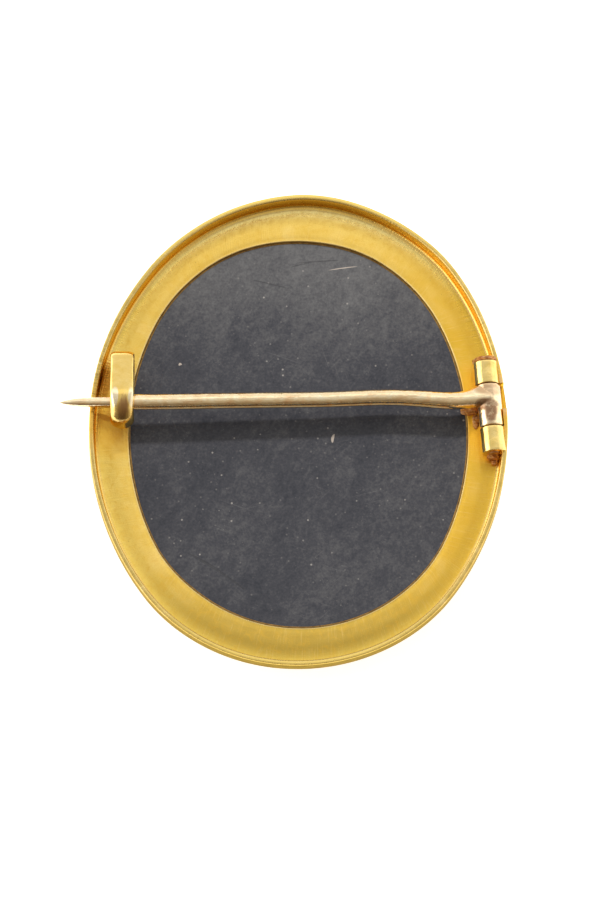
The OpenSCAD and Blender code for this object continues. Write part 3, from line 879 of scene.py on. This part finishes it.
def gold_satin():
    g = Mat("gold_satin")
    pos, uv = g.pos, g.uv
    # marks across the flange, along it, and a fine frosted grain
    across = g.noise(g.mapping(uv, (9.0, 0.50, 1)), 1.0, 5, 0.65)
    along = g.noise(g.mapping(uv, (0.5, 9.0, 1)), 1.0, 4, 0.6)
    diag = g.noise(g.turned(pos, (3.4, 0.5, 3.4), 0.5), 1.0, 4, 0.6)
    grain = g.noise(pos, 11.0, 3, 0.65)
    patch = g.noise(pos, 0.42, 4, 0.6, 0.6)
    patch2 = g.noise(pos, 1.7, 5, 0.68, 0.8)
    flange, rim, wall = g.attr("zone_flange"), g.attr("zone_rim"), g.attr("zone_wall")
    inner, lip, bevel = g.attr("zone_inner"), g.attr("zone_lip"), g.attr("zone_bevel")
    border, outer, bright = g.attr("zone_border"), g.attr("zone_outer"), g.attr("zone_bright")
    P = g.xyz(pos)
    # painted light and shade on the flange: paler over its outer band and towards the upper end, darker and redder
    # towards the hinge, paler on the catch side, darker at the lower end
    base = g.ramp(patch, [(0.30, (0.76, 0.475, 0.062)), (0.50, (0.83, 0.555, 0.105)), (0.72, (0.90, 0.64, 0.185))])
    base = g.mix(g.math("MULTIPLY", bright, 0.60), base, (0.96, 0.67, 0.125))
    base = g.mix(g.math("MULTIPLY", g.range(P[1], 8.0, 18.0, 0, 1.0, smooth=True), g.math("ADD", 0.35, g.math("MULTIPLY", bright, 0.5))), base, (0.98, 0.71, 0.18))
    base = g.mix(g.range(P[0], 5.0, 14.0, 0, 0.60, smooth=True), base, (0.71, 0.41, 0.024))
    base = g.mix(g.range(P[0], -15.0, -8.0, 0.45, 0, smooth=True), base, (0.81, 0.60, 0.165))
    base = g.mix(g.range(P[1], -17.8, -9.5, 0.92, 0, smooth=True), base, (0.515, 0.345, 0.062))
    # painted light and shade on the outer band of the flange: paler overall, darker and more orange towards the hinge,
    # brightest at the upper end
    base = g.mix(g.math("MULTIPLY", outer, g.range(P[1], -20.0, 10.0, 0.45, 0.25)), base, (0.97, 0.68, 0.13))
    base = g.mix(g.math("MULTIPLY", outer, g.range(P[0], 7.0, 14.0, 0, 0.42)), base, (0.66, 0.37, 0.022))
    base = g.mix(g.math("MULTIPLY", outer, g.range(P[1], 11.0, 18.0, 0, 0.96)), base, (1.0, 0.81, 0.32))
    base = g.mix(g.range(patch2, 0.46, 0.74, 0, 0.50), base, (0.77, 0.46, 0.050))
    base = g.mix(g.math("MULTIPLY", g.range(across, 0.54, 0.78), 0.45), base, (0.94, 0.70, 0.25))
    base = g.mix(g.math("MULTIPLY", g.range(grain, 0.52, 0.70), 0.30), base, (0.64, 0.38, 0.05))
    # dull rim top, duller at the sides, with a painted highlight on the rim at its upper and lower ends and painted
    # shade on the rim on the catch side; deep warm corner under the inner wall
    rimc = g.ramp(g.noise(g.mapping(uv, (1.1, 0.2, 1)), 1.0, 4, 0.62), [(0.36, (0.60, 0.43, 0.120)), (0.56, (0.75, 0.54, 0.18)), (0.70, (0.90, 0.70, 0.33))])
    sides = g.range(g.math("ABSOLUTE", P[0]), 5.0, 13.0, 0.30, 0.85)
    base = g.mix(g.math("MULTIPLY", rim, sides), base, rimc)
    base = g.mix(g.math("MULTIPLY", rim, g.math("SUBTRACT", 1.05, g.math("MULTIPLY", sides, 1.24), clamp=True)), base, (0.98, 0.72, 0.20))
    base = g.mix(g.math("MULTIPLY", rim, g.range(P[0], -16.0, -11.0, 0.42, 0)), base, (0.42, 0.30, 0.095))
    base = g.mix(g.math("MULTIPLY", inner, g.range(P[0], 3.0, 12.0, 0.50, 0.85)), base, (0.80, 0.54, 0.160))
    # painted highlight: paler gold along the rim's inner edge and along the lip on the stone
    base = g.mix(g.math("MULTIPLY", lip, 0.55), base, (0.92, 0.72, 0.34))
    base = g.mix(g.math("MULTIPLY", border, 0.35), base, (0.84, 0.58, 0.15))
    # painted shade: the outside of the rim is coloured dark and dull
    base = g.mix(g.math("MULTIPLY", wall, 0.90), base, g.ramp(g.noise(g.mapping(uv, (0.9, 2.0, 1)), 1.0, 4, 0.62), [(0.35, (0.25, 0.165, 0.034)), (0.68, (0.38, 0.260, 0.062))]))
    # dark line where the gold is pressed on the stone
    base = g.mix(bevel, base, g.ramp(patch2, [(0.35, (0.13, 0.068, 0.017)), (0.65, (0.30, 0.170, 0.045))]))
    # small dark pits and grime, thicker in two places near the top

    def near(x, y, r):
        dx, dy = g.math("SUBTRACT", P[0], x), g.math("SUBTRACT", P[1], y)
        d = g.math("ADD", g.math("MULTIPLY", dx, dx), g.math("MULTIPLY", dy, dy))
        return g.range(d, r * r * 0.2, r * r, 1, 0)

    pit = g.range(g.voronoi(pos, 2.6), 0.03, 0.075, 1, 0)
    keep = g.range(g.noise(pos, 0.9, 2, 0.5), 0.54, 0.62)
    spot = g.range(g.voronoi(pos, 3.3), 0.07, 0.15, 1, 0)
    here = g.math("MAXIMUM", near(6.5, 17.1, 1.1), near(10.6, 13.6, 0.9))
    here = g.math("MAXIMUM", here, g.math("MULTIPLY", near(-8.6, 14.2, 1.3), 0.6))
    dirt = g.math("MAXIMUM", g.math("MULTIPLY", pit, keep), g.math("MULTIPLY", spot, here))
    dirt = g.math("MULTIPLY", dirt, g.math("SUBTRACT", 1.0, bevel))
    base = g.mix(g.math("MULTIPLY", dirt, 0.72), base, (0.20, 0.09, 0.015))
    # painted shade in the corner between the catch and the rim, and under the end of the stem

    def blob(x, y, rx, ry, lean=0.0):
        dx, dy = g.math("SUBTRACT", P[0], x), g.math("SUBTRACT", P[1], y)
        dy = g.math("SUBTRACT", dy, g.math("MULTIPLY", dx, lean))
        dx, dy = g.math("DIVIDE", dx, rx), g.math("DIVIDE", dy, ry)
        return g.range(g.math("ADD", g.math("MULTIPLY", dx, dx), g.math("MULTIPLY", dy, dy)), 0.35, 1.0, 1, 0, smooth=True)

    catch_corner_shade = g.math("MAXIMUM", blob(-15.42, 4.2, 0.46, 1.45, 1.2), g.math("MULTIPLY", blob(-15.5, 1.30, 0.85, 0.30, -0.35), 0.85))
    catch_corner_shade = g.math("MULTIPLY", catch_corner_shade, g.math("MAXIMUM", flange, inner))
    # painted shade: a deep orange on the flange round the hinge and under the stem by the catch
    fittings_shade_tint = g.math("MAXIMUM", near(14.1, 1.8, 4.6), g.math("MULTIPLY", near(-15.0, 1.0, 3.4), 0.7))
    base = g.mix(g.math("MULTIPLY", g.math("MULTIPLY", fittings_shade_tint, g.math("SUBTRACT", 1.0, bevel)), 0.72), base, (0.92, 0.47, 0.026))
    # painted shade beside the catch
    base = g.mix(g.math("MULTIPLY", catch_corner_shade, 0.85), base, (0.52, 0.23, 0.030))
    # rosy smear where the rim is filed away beside the hinge
    base = g.mix(g.math("MULTIPLY", near(16.4, 2.7, 1.9), g.math("MULTIPLY", rim, 0.85)), base, (0.86, 0.56, 0.31))
    # strokes of a file across the rim above the catch
    stroke = g.noise(g.mapping(uv, (5.0, 0.25, 1)), 1.0, 3, 0.6)
    filed = g.math("MULTIPLY", near(-16.4, 4.4, 3.2), rim)
    base = g.mix(g.math("MULTIPLY", filed, g.range(stroke, 0.50, 0.62, 0, 0.60)), base, (0.34, 0.22, 0.05))
    base = g.mix(g.math("MULTIPLY", filed, g.range(stroke, 0.34, 0.42, 0.55, 0)), base, (0.98, 0.86, 0.50))
    rough = g.math("ADD", g.range(patch2, 0.3, 0.75, 0.36, 0.48), g.range(grain, 0.3, 0.7, -0.03, 0.05))
    rough = g.math("SUBTRACT", rough, g.math("MULTIPLY", outer, g.range(P[1], -4.0, 12.0, 0.05, 0.25)))
    rough = g.math("SUBTRACT", rough, g.math("MULTIPLY", inner, 0.20))
    rough = g.math("SUBTRACT", rough, g.math("MULTIPLY", rim, 0.12))
    rough = g.math("SUBTRACT", rough, g.math("MULTIPLY", border, 0.08))
    rough = g.math("SUBTRACT", rough, g.math("MULTIPLY", lip, 0.12), clamp=True)
    h = g.math("ADD", g.math("MULTIPLY", across, 0.8), g.math("MULTIPLY", along, 0.30))
    h = g.math("ADD", h, g.math("MULTIPLY", diag, 0.30))
    h = g.math("ADD", h, g.math("MULTIPLY", grain, 0.40))
    h = g.math("ADD", h, g.math("MULTIPLY", g.math("MULTIPLY", stroke, near(-16.4, 4.2, 3.6)), 2.6))
    h = g.math("SUBTRACT", h, g.math("MULTIPLY", dirt, 0.8))
    n1 = g.bump(g.noise(pos, 0.8, 3, 0.5), 0.00006, 0.40)
    n = g.bump(h, 0.000030, 0.85, n1)
    # frosted by acid on the flange, so partly matt; bright metal elsewhere
    metal = g.math("MULTIPLY", flange, g.math("SUBTRACT", 1.0, bright))
    metal = g.math("SUBTRACT", 1.0, g.math("MULTIPLY", metal, g.range(patch2, 0.3, 0.7, 0.20, 0.30)))
    metal = g.math("SUBTRACT", metal, g.math("MULTIPLY", bevel, 0.5))
    g.set(color=base, metal=metal, rough=rough, normal=n)
    g.bsdf.inputs["Specular Tint"].default_value = (1.0, 0.86, 0.50, 1.0)
    return g.m


def gold_polish(name="gold_polish", tint=((0.86, 0.60, 0.17), (0.93, 0.70, 0.27)), r0=0.09, r1=0.17, marks=()):
    g = Mat(name)
    pos = g.pos
    patch = g.noise(pos, 1.1, 4, 0.6, 0.5)
    base = g.ramp(patch, [(0.32, tint[0]), (0.68, tint[1])])
    line = g.noise(g.mapping(pos, (0.7, 6.0, 6.0), (0.1, 0.2, 0.15)), 1.3, 4, 0.65)
    P = g.xyz(pos)
    # painted highlights and painted dark reflections, given as marks and streaked along the strip
    mark_streak_noise = g.noise(g.mapping(pos, (5.0, 0.9, 0.9)), 1.0, 4, 0.6)
    for x, y, rx, ry, amount, colour in marks:
        dx, dy = g.math("DIVIDE", g.math("SUBTRACT", P[0], x), rx), g.math("DIVIDE", g.math("SUBTRACT", P[1], y), ry)
        d = g.math("ADD", g.math("ADD", g.math("MULTIPLY", dx, dx), g.math("MULTIPLY", dy, dy)), g.range(mark_streak_noise, 0.3, 0.7, 0.35, -0.35))
        base = g.mix(g.math("MULTIPLY", g.range(d, 0.30, 1.0, 1, 0, smooth=True), amount), base, colour)
    scr = g.range(g.noise(g.mapping(pos, (6, 0.45, 3), (0, 0.3, 0.5)), 1.6, 3, 0.7), 0.60, 0.72)
    grain = g.noise(pos, 14.0, 3, 0.6)
    rough = g.math("ADD", g.range(patch, 0.3, 0.7, r0, r1), g.math("MULTIPLY", scr, 0.10))
    h = g.math("ADD", g.math("MULTIPLY", line, 0.5), g.math("MULTIPLY", grain, 0.22))
    h = g.math("SUBTRACT", h, g.math("MULTIPLY", scr, 0.5))
    n1 = g.bump(g.noise(pos, 1.6, 2, 0.5), 0.00005, 0.35)
    g.set(color=base, metal=1.0, rough=rough, normal=g.bump(h, 0.000012, 0.6, n1))
    return g.m


def rose_gold():
    g = Mat("rose_gold")
    pos = g.pos
    patch = g.noise(pos, 0.9, 5, 0.62, 0.6)
    base = g.ramp(patch, [(0.28, (0.97, 0.67, 0.37)), (0.5, (1.0, 0.81, 0.50)), (0.72, (1.0, 0.89, 0.62))])
    stain = g.range(g.noise(g.mapping(pos, (0.5, 2.2, 2.2)), 1.3, 4, 0.6), 0.56, 0.70)
    base = g.mix(g.math("MULTIPLY", stain, 0.45), base, (0.58, 0.29, 0.13))
    # painted shade in the hollow below the root; a darker tan over the upper part of the knuckle
    P = g.xyz(pos)

    def blob(x, y, rx, ry):
        dx, dy = g.math("DIVIDE", g.math("SUBTRACT", P[0], x), rx), g.math("DIVIDE", g.math("SUBTRACT", P[1], y), ry)
        return g.range(g.math("ADD", g.math("MULTIPLY", dx, dx), g.math("MULTIPLY", dy, dy)), 0.35, 1.0, 1, 0, smooth=True)

    root_crease_shade = g.math("MAXIMUM", blob(15.38, 1.25, 0.62, 1.25), blob(15.05, 1.75, 1.15, 0.60))
    root_crease_shade = g.math("MULTIPLY", root_crease_shade, g.range(g.noise(pos, 2.6, 4, 0.6), 0.10, 0.50))
    base = g.mix(g.math("MULTIPLY", blob(15.25, 3.15, 1.5, 0.80), 0.70), base, (0.60, 0.37, 0.20))
    # painted shade below the root
    base = g.mix(g.math("MULTIPLY", root_crease_shade, 0.94), base, (0.27, 0.140, 0.072))
    draw = g.noise(g.mapping(pos, (0.35, 9.0, 9.0)), 1.0, 4, 0.6)
    nick = g.range(g.voronoi(g.mapping(pos, (1.6, 3.5, 3.5)), 1.0), 0.05, 0.13, 1, 0)
    grain = g.noise(pos, 15.0, 3, 0.6)
    rough = g.math("ADD", g.range(patch, 0.3, 0.72, 0.12, 0.22), g.math("MULTIPLY", g.math("ADD", stain, root_crease_shade), 0.10))
    h = g.math("ADD", g.math("MULTIPLY", draw, 0.6), g.math("MULTIPLY", grain, 0.25))
    h = g.math("SUBTRACT", h, g.math("MULTIPLY", nick, 0.9))
    n1 = g.bump(g.noise(g.mapping(pos, (0.8, 1.4, 1.4)), 1.4, 3, 0.5), 0.00008, 0.5)
    g.set(color=base, metal=1.0, rough=rough, normal=g.bump(h, 0.000016, 0.7, n1))
    return g.m


def solder():
    g = Mat("solder_stain")
    pos = g.pos
    a = g.noise(pos, 2.6, 6, 0.68, 1.0)
    b = g.noise(pos, 7.0, 4, 0.6)
    base = g.ramp(a, [(0.25, (0.16, 0.055, 0.018)), (0.45, (0.42, 0.16, 0.045)), (0.62, (0.72, 0.36, 0.09)), (0.8, (0.90, 0.62, 0.25))])
    stripe = g.range(g.noise(g.mapping(pos, (0.9, 5.5, 2.5)), 1.0, 3, 0.6), 0.50, 0.60)
    base = g.mix(g.math("MULTIPLY", stripe, 0.45), base, (0.90, 0.60, 0.36))
    rough = g.range(b, 0.3, 0.7, 0.30, 0.58)
    h = g.math("ADD", a, g.math("ADD", g.math("MULTIPLY", b, 0.5), g.math("MULTIPLY", stripe, 0.4)))
    g.set(color=base, metal=0.9, rough=rough, normal=g.bump(h, 0.00009, 0.8))
    return g.m


def stone_material():
    g = Mat("cameo_stone_surface")
    pos = g.pos
    white, front = g.attr("white"), g.attr("front")
    # cloudy dark body
    c1 = g.noise(pos, 0.10, 5, 0.6, 0.5)
    c2 = g.noise(pos, 0.45, 6, 0.65, 0.8)
    c3 = g.noise(pos, 2.4, 4, 0.6)
    c4 = g.noise(g.turned(pos, (1.6, 0.7, 1.0), 0.5), 1.0, 5, 0.65, 1.2)
    mixc = g.math("ADD", g.math("MULTIPLY", c1, 0.30), g.math("ADD", g.math("MULTIPLY", c2, 0.28), g.math("ADD", g.math("MULTIPLY", c3, 0.20), g.math("ADD", g.math("MULTIPLY", c4, 0.22), g.math("MULTIPLY", g.math("SUBTRACT", g.noise(pos, 5.2, 3, 0.62), 0.5), 0.30)))))
    # painted light: the stone is made lighter towards its upper end, standing in for the lamp's sheen
    top = g.range(g.xyz(pos)[1], 6.0, 14.5, 0.0, 0.16, smooth=True)
    mixc = g.math("ADD", mixc, top)
    dark = g.ramp(mixc, [(0.38, (0.025, 0.026, 0.032)), (0.5, (0.041, 0.041, 0.047)), (0.60, (0.066, 0.065, 0.068)), (0.74, (0.104, 0.102, 0.102))])
    # pale flecks, singly and in drifts
    cell = g.voronoi(pos, 1.35)
    fleck = g.range(cell, 0.060, 0.135, 1, 0)
    drift = g.range(g.noise(pos, 0.33, 3, 0.6), 0.50, 0.66)
    fleck = g.math("MULTIPLY", fleck, g.math("ADD", 0.25, drift), clamp=True)
    cell2 = g.voronoi(pos, 4.3)
    dust = g.math("MULTIPLY", g.range(cell2, 0.05, 0.12, 1, 0), g.range(g.noise(pos, 0.6, 3, 0.6), 0.48, 0.62))
    col = g.mix(g.math("MULTIPLY", fleck, 0.55), dark, (0.40, 0.37, 0.33))
    col = g.mix(g.math("MULTIPLY", dust, 0.42), col, (0.33, 0.31, 0.28))
    # scratches in three directions
    scr = None
    for rot, sc, lo in ((0.35, 1.0, 0.66), (1.25, 0.8, 0.68), (2.4, 1.2, 0.67), (2.9, 0.6, 0.69)):
        s = g.range(g.noise(g.turned(pos, (0.20 * sc, 7.5 * sc, 1), rot), 1.0, 2.5, 0.5, 0.15), lo, lo + 0.03)
        scr = s if scr is None else g.math("MAXIMUM", scr, s)
    gate = g.range(g.noise(pos, 0.25, 3, 0.6), 0.50, 0.66)
    scr = g.math("MULTIPLY", scr, gate)
    col = g.mix(g.math("MULTIPLY", scr, 0.16), col, (0.20, 0.195, 0.19))
    # marks set one by one
    P = g.xyz(pos)

    def streak(x, y, ang, ln, wd, soft=0.5):
        ca, sa = math.cos(math.radians(ang)), math.sin(math.radians(ang))
        dx, dy = g.math("SUBTRACT", P[0], x), g.math("SUBTRACT", P[1], y)
        u = g.math("DIVIDE", g.math("ADD", g.math("MULTIPLY", dx, ca), g.math("MULTIPLY", dy, sa)), ln)
        w = g.math("DIVIDE", g.math("SUBTRACT", g.math("MULTIPLY", dy, ca), g.math("MULTIPLY", dx, sa)), wd)
        w = g.math("ADD", w, g.math("MULTIPLY", g.math("MULTIPLY", u, u), 0.6))
        d = g.math("ADD", g.math("MULTIPLY", u, u), g.math("MULTIPLY", w, w))
        return g.range(d, soft, 1.0, 1, 0, smooth=True)

    pale = g.math("MAXIMUM", streak(2.75, -0.35, 78, 0.42, 0.13), streak(3.6, 14.05, 8, 1.3, 0.05))
    pale = g.math("MAXIMUM", pale, streak(-9.5, 5.9, 20, 0.16, 0.12))
    deep = streak(-7.2, -10.9, -32, 2.1, 0.14)
    deep = g.math("MAXIMUM", deep, streak(-5.6, -12.0, -36, 2.0, 0.11))
    deep = g.math("MAXIMUM", deep, streak(1.6, 14.6, 4, 1.9, 0.06))
    deep = g.math("MAXIMUM", deep, streak(-2.3, 12.7, -14, 1.7, 0.06))
    deep = g.math("MAXIMUM", deep, streak(0.3, 14.35, 14, 1.2, 0.05))
    backside = g.math("SUBTRACT", 1.0, front)
    pale, deep = g.math("MULTIPLY", pale, backside), g.math("MULTIPLY", deep, backside)
    col = g.mix(g.math("MULTIPLY", deep, 0.45), col, (0.030, 0.030, 0.032))
    col = g.mix(g.math("MULTIPLY", pale, 0.75), col, (0.42, 0.36, 0.30))
    # white carved layer on the front, thin and bluish near the ground
    w1 = g.ramp(g.noise(pos, 1.1, 4, 0.6), [(0.3, (0.70, 0.65, 0.56)), (0.7, (0.86, 0.82, 0.74))])
    col = g.mix(white, g.mix(g.math("MULTIPLY", front, 0.35), col, (0.05, 0.045, 0.045)), w1)
    rough = g.math("ADD", g.range(c2, 0.3, 0.7, 0.40, 0.54), g.math("MULTIPLY", scr, 0.12))
    rough = g.math("SUBTRACT", rough, g.math("MULTIPLY", g.math("MULTIPLY", front, g.math("SUBTRACT", 1.0, white)), 0.25))
    h = g.math("ADD", g.math("MULTIPLY", c3, 0.3), g.math("MULTIPLY", g.noise(pos, 9.0, 4, 0.65), 0.35))
    h = g.math("SUBTRACT", h, g.math("MULTIPLY", scr, 0.35))
    h = g.math("SUBTRACT", h, g.math("MULTIPLY", deep, 0.7))
    h = g.math("SUBTRACT", h, g.math("MULTIPLY", fleck, 0.5))
    g.set(color=col, metal=0.0, rough=rough, normal=g.bump(h, 0.00003, 0.6), spec=0.26)
    return g.m


def use(ob, mat):
    ob.data.materials.clear()
    ob.data.materials.append(mat)


# ------------------------------------------------------------------ build it
M_GOLD, M_POLISH, M_ROSE, M_SOLDER, M_STONE = gold_satin(), gold_polish(), rose_gold(), solder(), stone_material()
# the catch's marks: pale spots are painted highlights on the sides of the hook, dark ovals a painted dark reflection in
# its middle
M_CATCH = gold_polish("catch_gold", ((0.84, 0.57, 0.15), (0.91, 0.67, 0.24)), 0.10, 0.18, (
    (CATCH_X - 0.55, 2.0, 0.36, 0.90, 0.75, (0.99, 0.88, 0.64)),
    (CATCH_X + 0.72, 2.0, 0.30, 0.90, 0.75, (0.99, 0.88, 0.64)),
    (CATCH_X + 0.10, 1.05, 0.60, 1.00, 0.80, (0.42, 0.235, 0.095)),
    (CATCH_X + 0.18, 1.45, 0.30, 1.10, 0.55, (0.36, 0.19, 0.080))))
M_GOLD_SOLDER = gold_polish("gold_solder", ((0.66, 0.38, 0.08), (0.80, 0.52, 0.16)), 0.20, 0.34)
M_RIVET = gold_polish("rivet_metal", ((0.40, 0.20, 0.09), (0.62, 0.38, 0.20)), 0.28, 0.42)

ring = build_frame()
cut = lathe("cut", [[MID[0] - 0.04, KNUCKLE_R + 0.04], [MID[1] + 0.03, KNUCKLE_R + 0.04]], 0, 0, 128, closed=False)
boolean(ring, cut)
E1 = np.array([math.cos(LEAN), math.sin(LEAN), 0.0])
notch = new_mesh("notch", [HINGE + AXIS * a_ + E1 * b_ + np.array([0, 0, c_]) for a_ in (-0.32, 1.785) for b_ in (0.6, 3.2) for c_ in (-0.72, 2.0)],
                 [(0, 1, 3, 2), (4, 6, 7, 5), (0, 4, 5, 1), (2, 3, 7, 6), (0, 2, 6, 4), (1, 5, 7, 3)])
boolean(ring, notch)
smooth_all(ring)
use(ring, M_GOLD)
catch = build_catch()
use(catch, M_CATCH)
k_low = lathe("knuckle_low", tube_profile(LOW[0], LOW[1], KNUCKLE_R, RIVET_R), 0, 0)
k_top = lathe("knuckle_top", tube_profile(TOP[0], TOP[1] - 0.36, KNUCKLE_R, RIVET_R), 0, 0)
for k in (k_low, k_top):
    use(k, M_POLISH)


def collar(name, lo, hi, r, seed):
    """Rough ring of solder round the end of a tube."""
    rr = np.random.RandomState(seed)
    ph = rr.uniform(0, 6.28, 6)
    seg = 120
    rows = []
    prof = [(lo + 0.01, RIVET_R), (lo, r - 0.06), (lo + 0.02, r - 0.01)]
    prof += [(lo + (hi - lo) * q, r + 0.012 * math.sin(9 * q + 1)) for q in np.linspace(0.15, 0.8, 9)]
    prof += [(hi - 0.04, r - 0.03), (hi - 0.01, r - 0.09), (hi, r - 0.2), (hi - 0.02, RIVET_R)]
    for k, (q, rad) in enumerate(prof):
        for t in np.linspace(0, 2 * np.pi, seg, endpoint=False):
            w = 0.0 if rad < RIVET_R + 0.01 else 1.0
            nz = math.sin(3 * t + ph[0]) * 0.4 + math.sin(7 * t + ph[1] + q * 5) * 0.35 + math.sin(13 * t + ph[2] - q * 9) * 0.25
            dr = w * 0.035 * nz
            ds = w * 0.05 * (math.sin(5 * t + ph[3]) * 0.6 + math.sin(11 * t + ph[4]) * 0.4) * (0.3 if k < 4 else 0.8)
            rows.append(HINGE + AXIS * (q + min(ds, TOP[1] - q if q > 0 else ds)) + (E1 * math.cos(t) + np.array([0, 0, 1.0]) * math.sin(t)) * (rad + min(dr, 0.01)))
    return new_mesh(name, np.array(rows), grid_faces(len(prof), seg, True, True))


solders = [
    collar("solder_top", TOP[1] - 0.37, TOP[1], KNUCKLE_R, 3),
    blob("solder_low", np.array([15.58, -2.12, 4.62]), (0.52, 0.36, 0.40), 5, 0.16),
    blob("solder_low_tail", np.array([15.66, -2.42, 4.42]), (0.26, 0.34, 0.14), 15, 0.14),
    blob("solder_side", np.array([13.72, 1.80, 4.30]), (0.74, 0.36, 0.20), 8, 0.16),
    blob("solder_side_low", np.array([14.22, 0.95, 4.22]), (0.28, 0.62, 0.10), 18, 0.18),
    blob("cradle_low", HINGE + AXIS * (0.5 * (LOW[0] + LOW[1])) + np.array([0.0, 0, -0.93]), (0.62, 0.92, 0.26), 21, 0.05),
    blob("cradle_top", HINGE + AXIS * (0.5 * (TOP[0] + TOP[1])) + np.array([0.0, 0, -0.93]), (0.62, 1.02, 0.26), 22, 0.05),
    blob("solder_catch", np.array([CATCH_X + 0.05, 4.15, 4.24]), (0.80, 0.95, 0.20), 12, 0.08),
]
for ob in solders:
    use(ob, M_GOLD_SOLDER if ob.name.startswith("cradle") or ob.name == "solder_catch" else M_SOLDER)
for ob in [ring, catch, k_low, k_top] + solders:
    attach(ob, "brooch")
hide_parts("setting")

rivet = lathe("rivet", [[LOW[0] - 0.12, 0.0005], [LOW[0] - 0.115, 0.12], [LOW[0] - 0.095, 0.25], [LOW[0] - 0.06, 0.36], [LOW[0] + 0.0, 0.43],
                        [LOW[0] + 0.1, RIVET_R], [TOP[1] - 0.1, RIVET_R], [TOP[1] + 0.0, 0.43], [TOP[1] + 0.08, 0.36], [TOP[1] + 0.13, 0.25],
                        [TOP[1] + 0.155, 0.12], [TOP[1] + 0.16, 0.0005]], 0, 0, 48, closed=False)
use(rivet, M_RIVET)
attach(rivet, "brooch")
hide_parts("hinge_rivet")

stone = build_stone()
use(stone, M_STONE)
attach(stone, "brooch")
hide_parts("cameo_stone")

rod, pend = build_pin(), build_pin_end()
for ob in (rod, pend):
    use(ob, M_ROSE)
    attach(ob, "pin")
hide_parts("pin_stem")

# ------------------------------------------------------------------ floor, light, camera
floor = new_mesh("floor", [(-400, -400, -0.02), (400, -400, -0.02), (400, 400, -0.02), (-400, 400, -0.02)], [(0, 1, 2, 3)])
fm = Mat("floor_paper")
fn = fm.noise(fm.pos, 0.15, 3, 0.5)
fm.set(color=fm.ramp(fn, [(0.3, (0.60, 0.60, 0.60)), (0.7, (0.62, 0.62, 0.62))]), rough=0.9, spec=0.1)
fm.bsdf.inputs["Emission Color"].default_value = (1, 1, 1, 1)
fm.bsdf.inputs["Emission Strength"].default_value = 0.78
use(floor, fm.m)

TARGET = Vector((0.136e-3, -1.4207e-3, 4.1592e-3))
SIN, COS = 0.3, math.sqrt(1 - 0.09)
DIST = 0.6
cam_data = bpy.data.cameras.new("cam")
cam_data.sensor_fit = "AUTO"
cam_data.sensor_width = 36.0
cam_data.lens = 36.0 * DIST / 0.072
cam_data.clip_start, cam_data.clip_end = 0.01, 5.0
cam = bpy.data.objects.new("cam", cam_data)
bpy.context.scene.collection.objects.link(cam)
fwd = Vector((0, SIN, -COS))
cam.location = TARGET - fwd * DIST
right = Vector((1, 0, 0))
up = right.cross(fwd)
cam.matrix_world = Matrix(((right.x, up.x, -fwd.x, cam.location.x), (right.y, up.y, -fwd.y, cam.location.y),
                           (right.z, up.z, -fwd.z, cam.location.z), (0, 0, 0, 1)))
bpy.context.scene.camera = cam


def area(name, loc, size, power, aim=(0, 0, 0.004), color=(1, 1, 1)):
    d = bpy.data.lights.new(name, "AREA")
    d.shape = "RECTANGLE"
    d.size, d.size_y = size
    d.energy = power
    d.color = color
    o = bpy.data.objects.new(name, d)
    bpy.context.scene.collection.objects.link(o)
    o.location = loc
    o.rotation_euler = (Vector(aim) - Vector(loc)).to_track_quat("-Z", "Y").to_euler()
    return o


# the key lamp lights the paper and the stone; the metal mirrors the tent only
key = area("key", (0.05, 0.386, 0.464), (0.045, 0.045), 3.2)
key.visible_glossy = False


def light_tent(stops, sides):
    """World light of a white tent: levels from front (-Y) to back (+Y), and a soft panel on each side."""
    w = bpy.data.worlds.new("tent")
    bpy.context.scene.world = w
    w.use_nodes = True
    t = w.node_tree
    bg = t.nodes["Background"]
    tc = t.nodes.new("ShaderNodeTexCoord")
    sep = t.nodes.new("ShaderNodeSeparateXYZ")
    t.links.new(tc.outputs["Generated"], sep.inputs[0])

    def math_node(op, a, b):
        nd = t.nodes.new("ShaderNodeMath")
        nd.operation = op
        for i, v in enumerate((a, b)):
            if isinstance(v, bpy.types.NodeSocket):
                t.links.new(v, nd.inputs[i])
            else:
                nd.inputs[i].default_value = v
        return nd.outputs[0]

    ramp = t.nodes.new("ShaderNodeValToRGB")
    t.links.new(math_node("ADD", math_node("MULTIPLY", sep.outputs[1], 0.5), 0.5), ramp.inputs[0])
    cr = ramp.color_ramp
    while len(cr.elements) < len(stops):
        cr.elements.new(0.5)
    for e, (y, level) in zip(cr.elements, stops):
        e.position = 0.5 + 0.5 * y
        # the darker front of the tent is warm
        w_ = max(0.0, min(1.0, (0.1 - y) / 0.9))
        e.color = (level / 2, level / 2 * (1 - 0.20 * w_), level / 2 * (1 - 0.42 * w_), 1)
    total = None
    for sign, lo, hi, level in sides:
        mr = t.nodes.new("ShaderNodeMapRange")
        mr.interpolation_type = "SMOOTHSTEP"
        t.links.new(math_node("MULTIPLY", sep.outputs[0], float(sign)), mr.inputs[0])
        mr.inputs[1].default_value, mr.inputs[2].default_value = lo, hi
        mr.inputs[3].default_value, mr.inputs[4].default_value = 0.0, level
        total = mr.outputs[0] if total is None else math_node("ADD", total, mr.outputs[0])
    both = t.nodes.new("ShaderNodeVectorMath")
    both.operation = "MULTIPLY_ADD"
    t.links.new(ramp.outputs[0], both.inputs[0])
    both.inputs[1].default_value = (2.0, 2.0, 2.0)
    t.links.new(total, both.inputs[2])
    t.links.new(both.outputs[0], bg.inputs[0])
    bg.inputs["Strength"].default_value = 1.0


light_tent([(-1.0, 0.14), (-0.85, 0.24), (-0.69, 0.34), (-0.40, 0.48), (-0.13, 0.62), (0.15, 0.72), (0.31, 0.80), (0.42, 1.16),
            (0.50, 1.28), (0.62, 1.22), (0.73, 0.98), (0.80, 0.94), (1.0, 1.0)], [(-1, 0.62, 0.82, 1.9), (1, 0.58, 0.82, 0.45)])
vs = bpy.context.scene.view_settings
vs.view_transform = "Standard"
vs.look = "None"
vs.exposure = 0.0
vs.gamma = 1.0
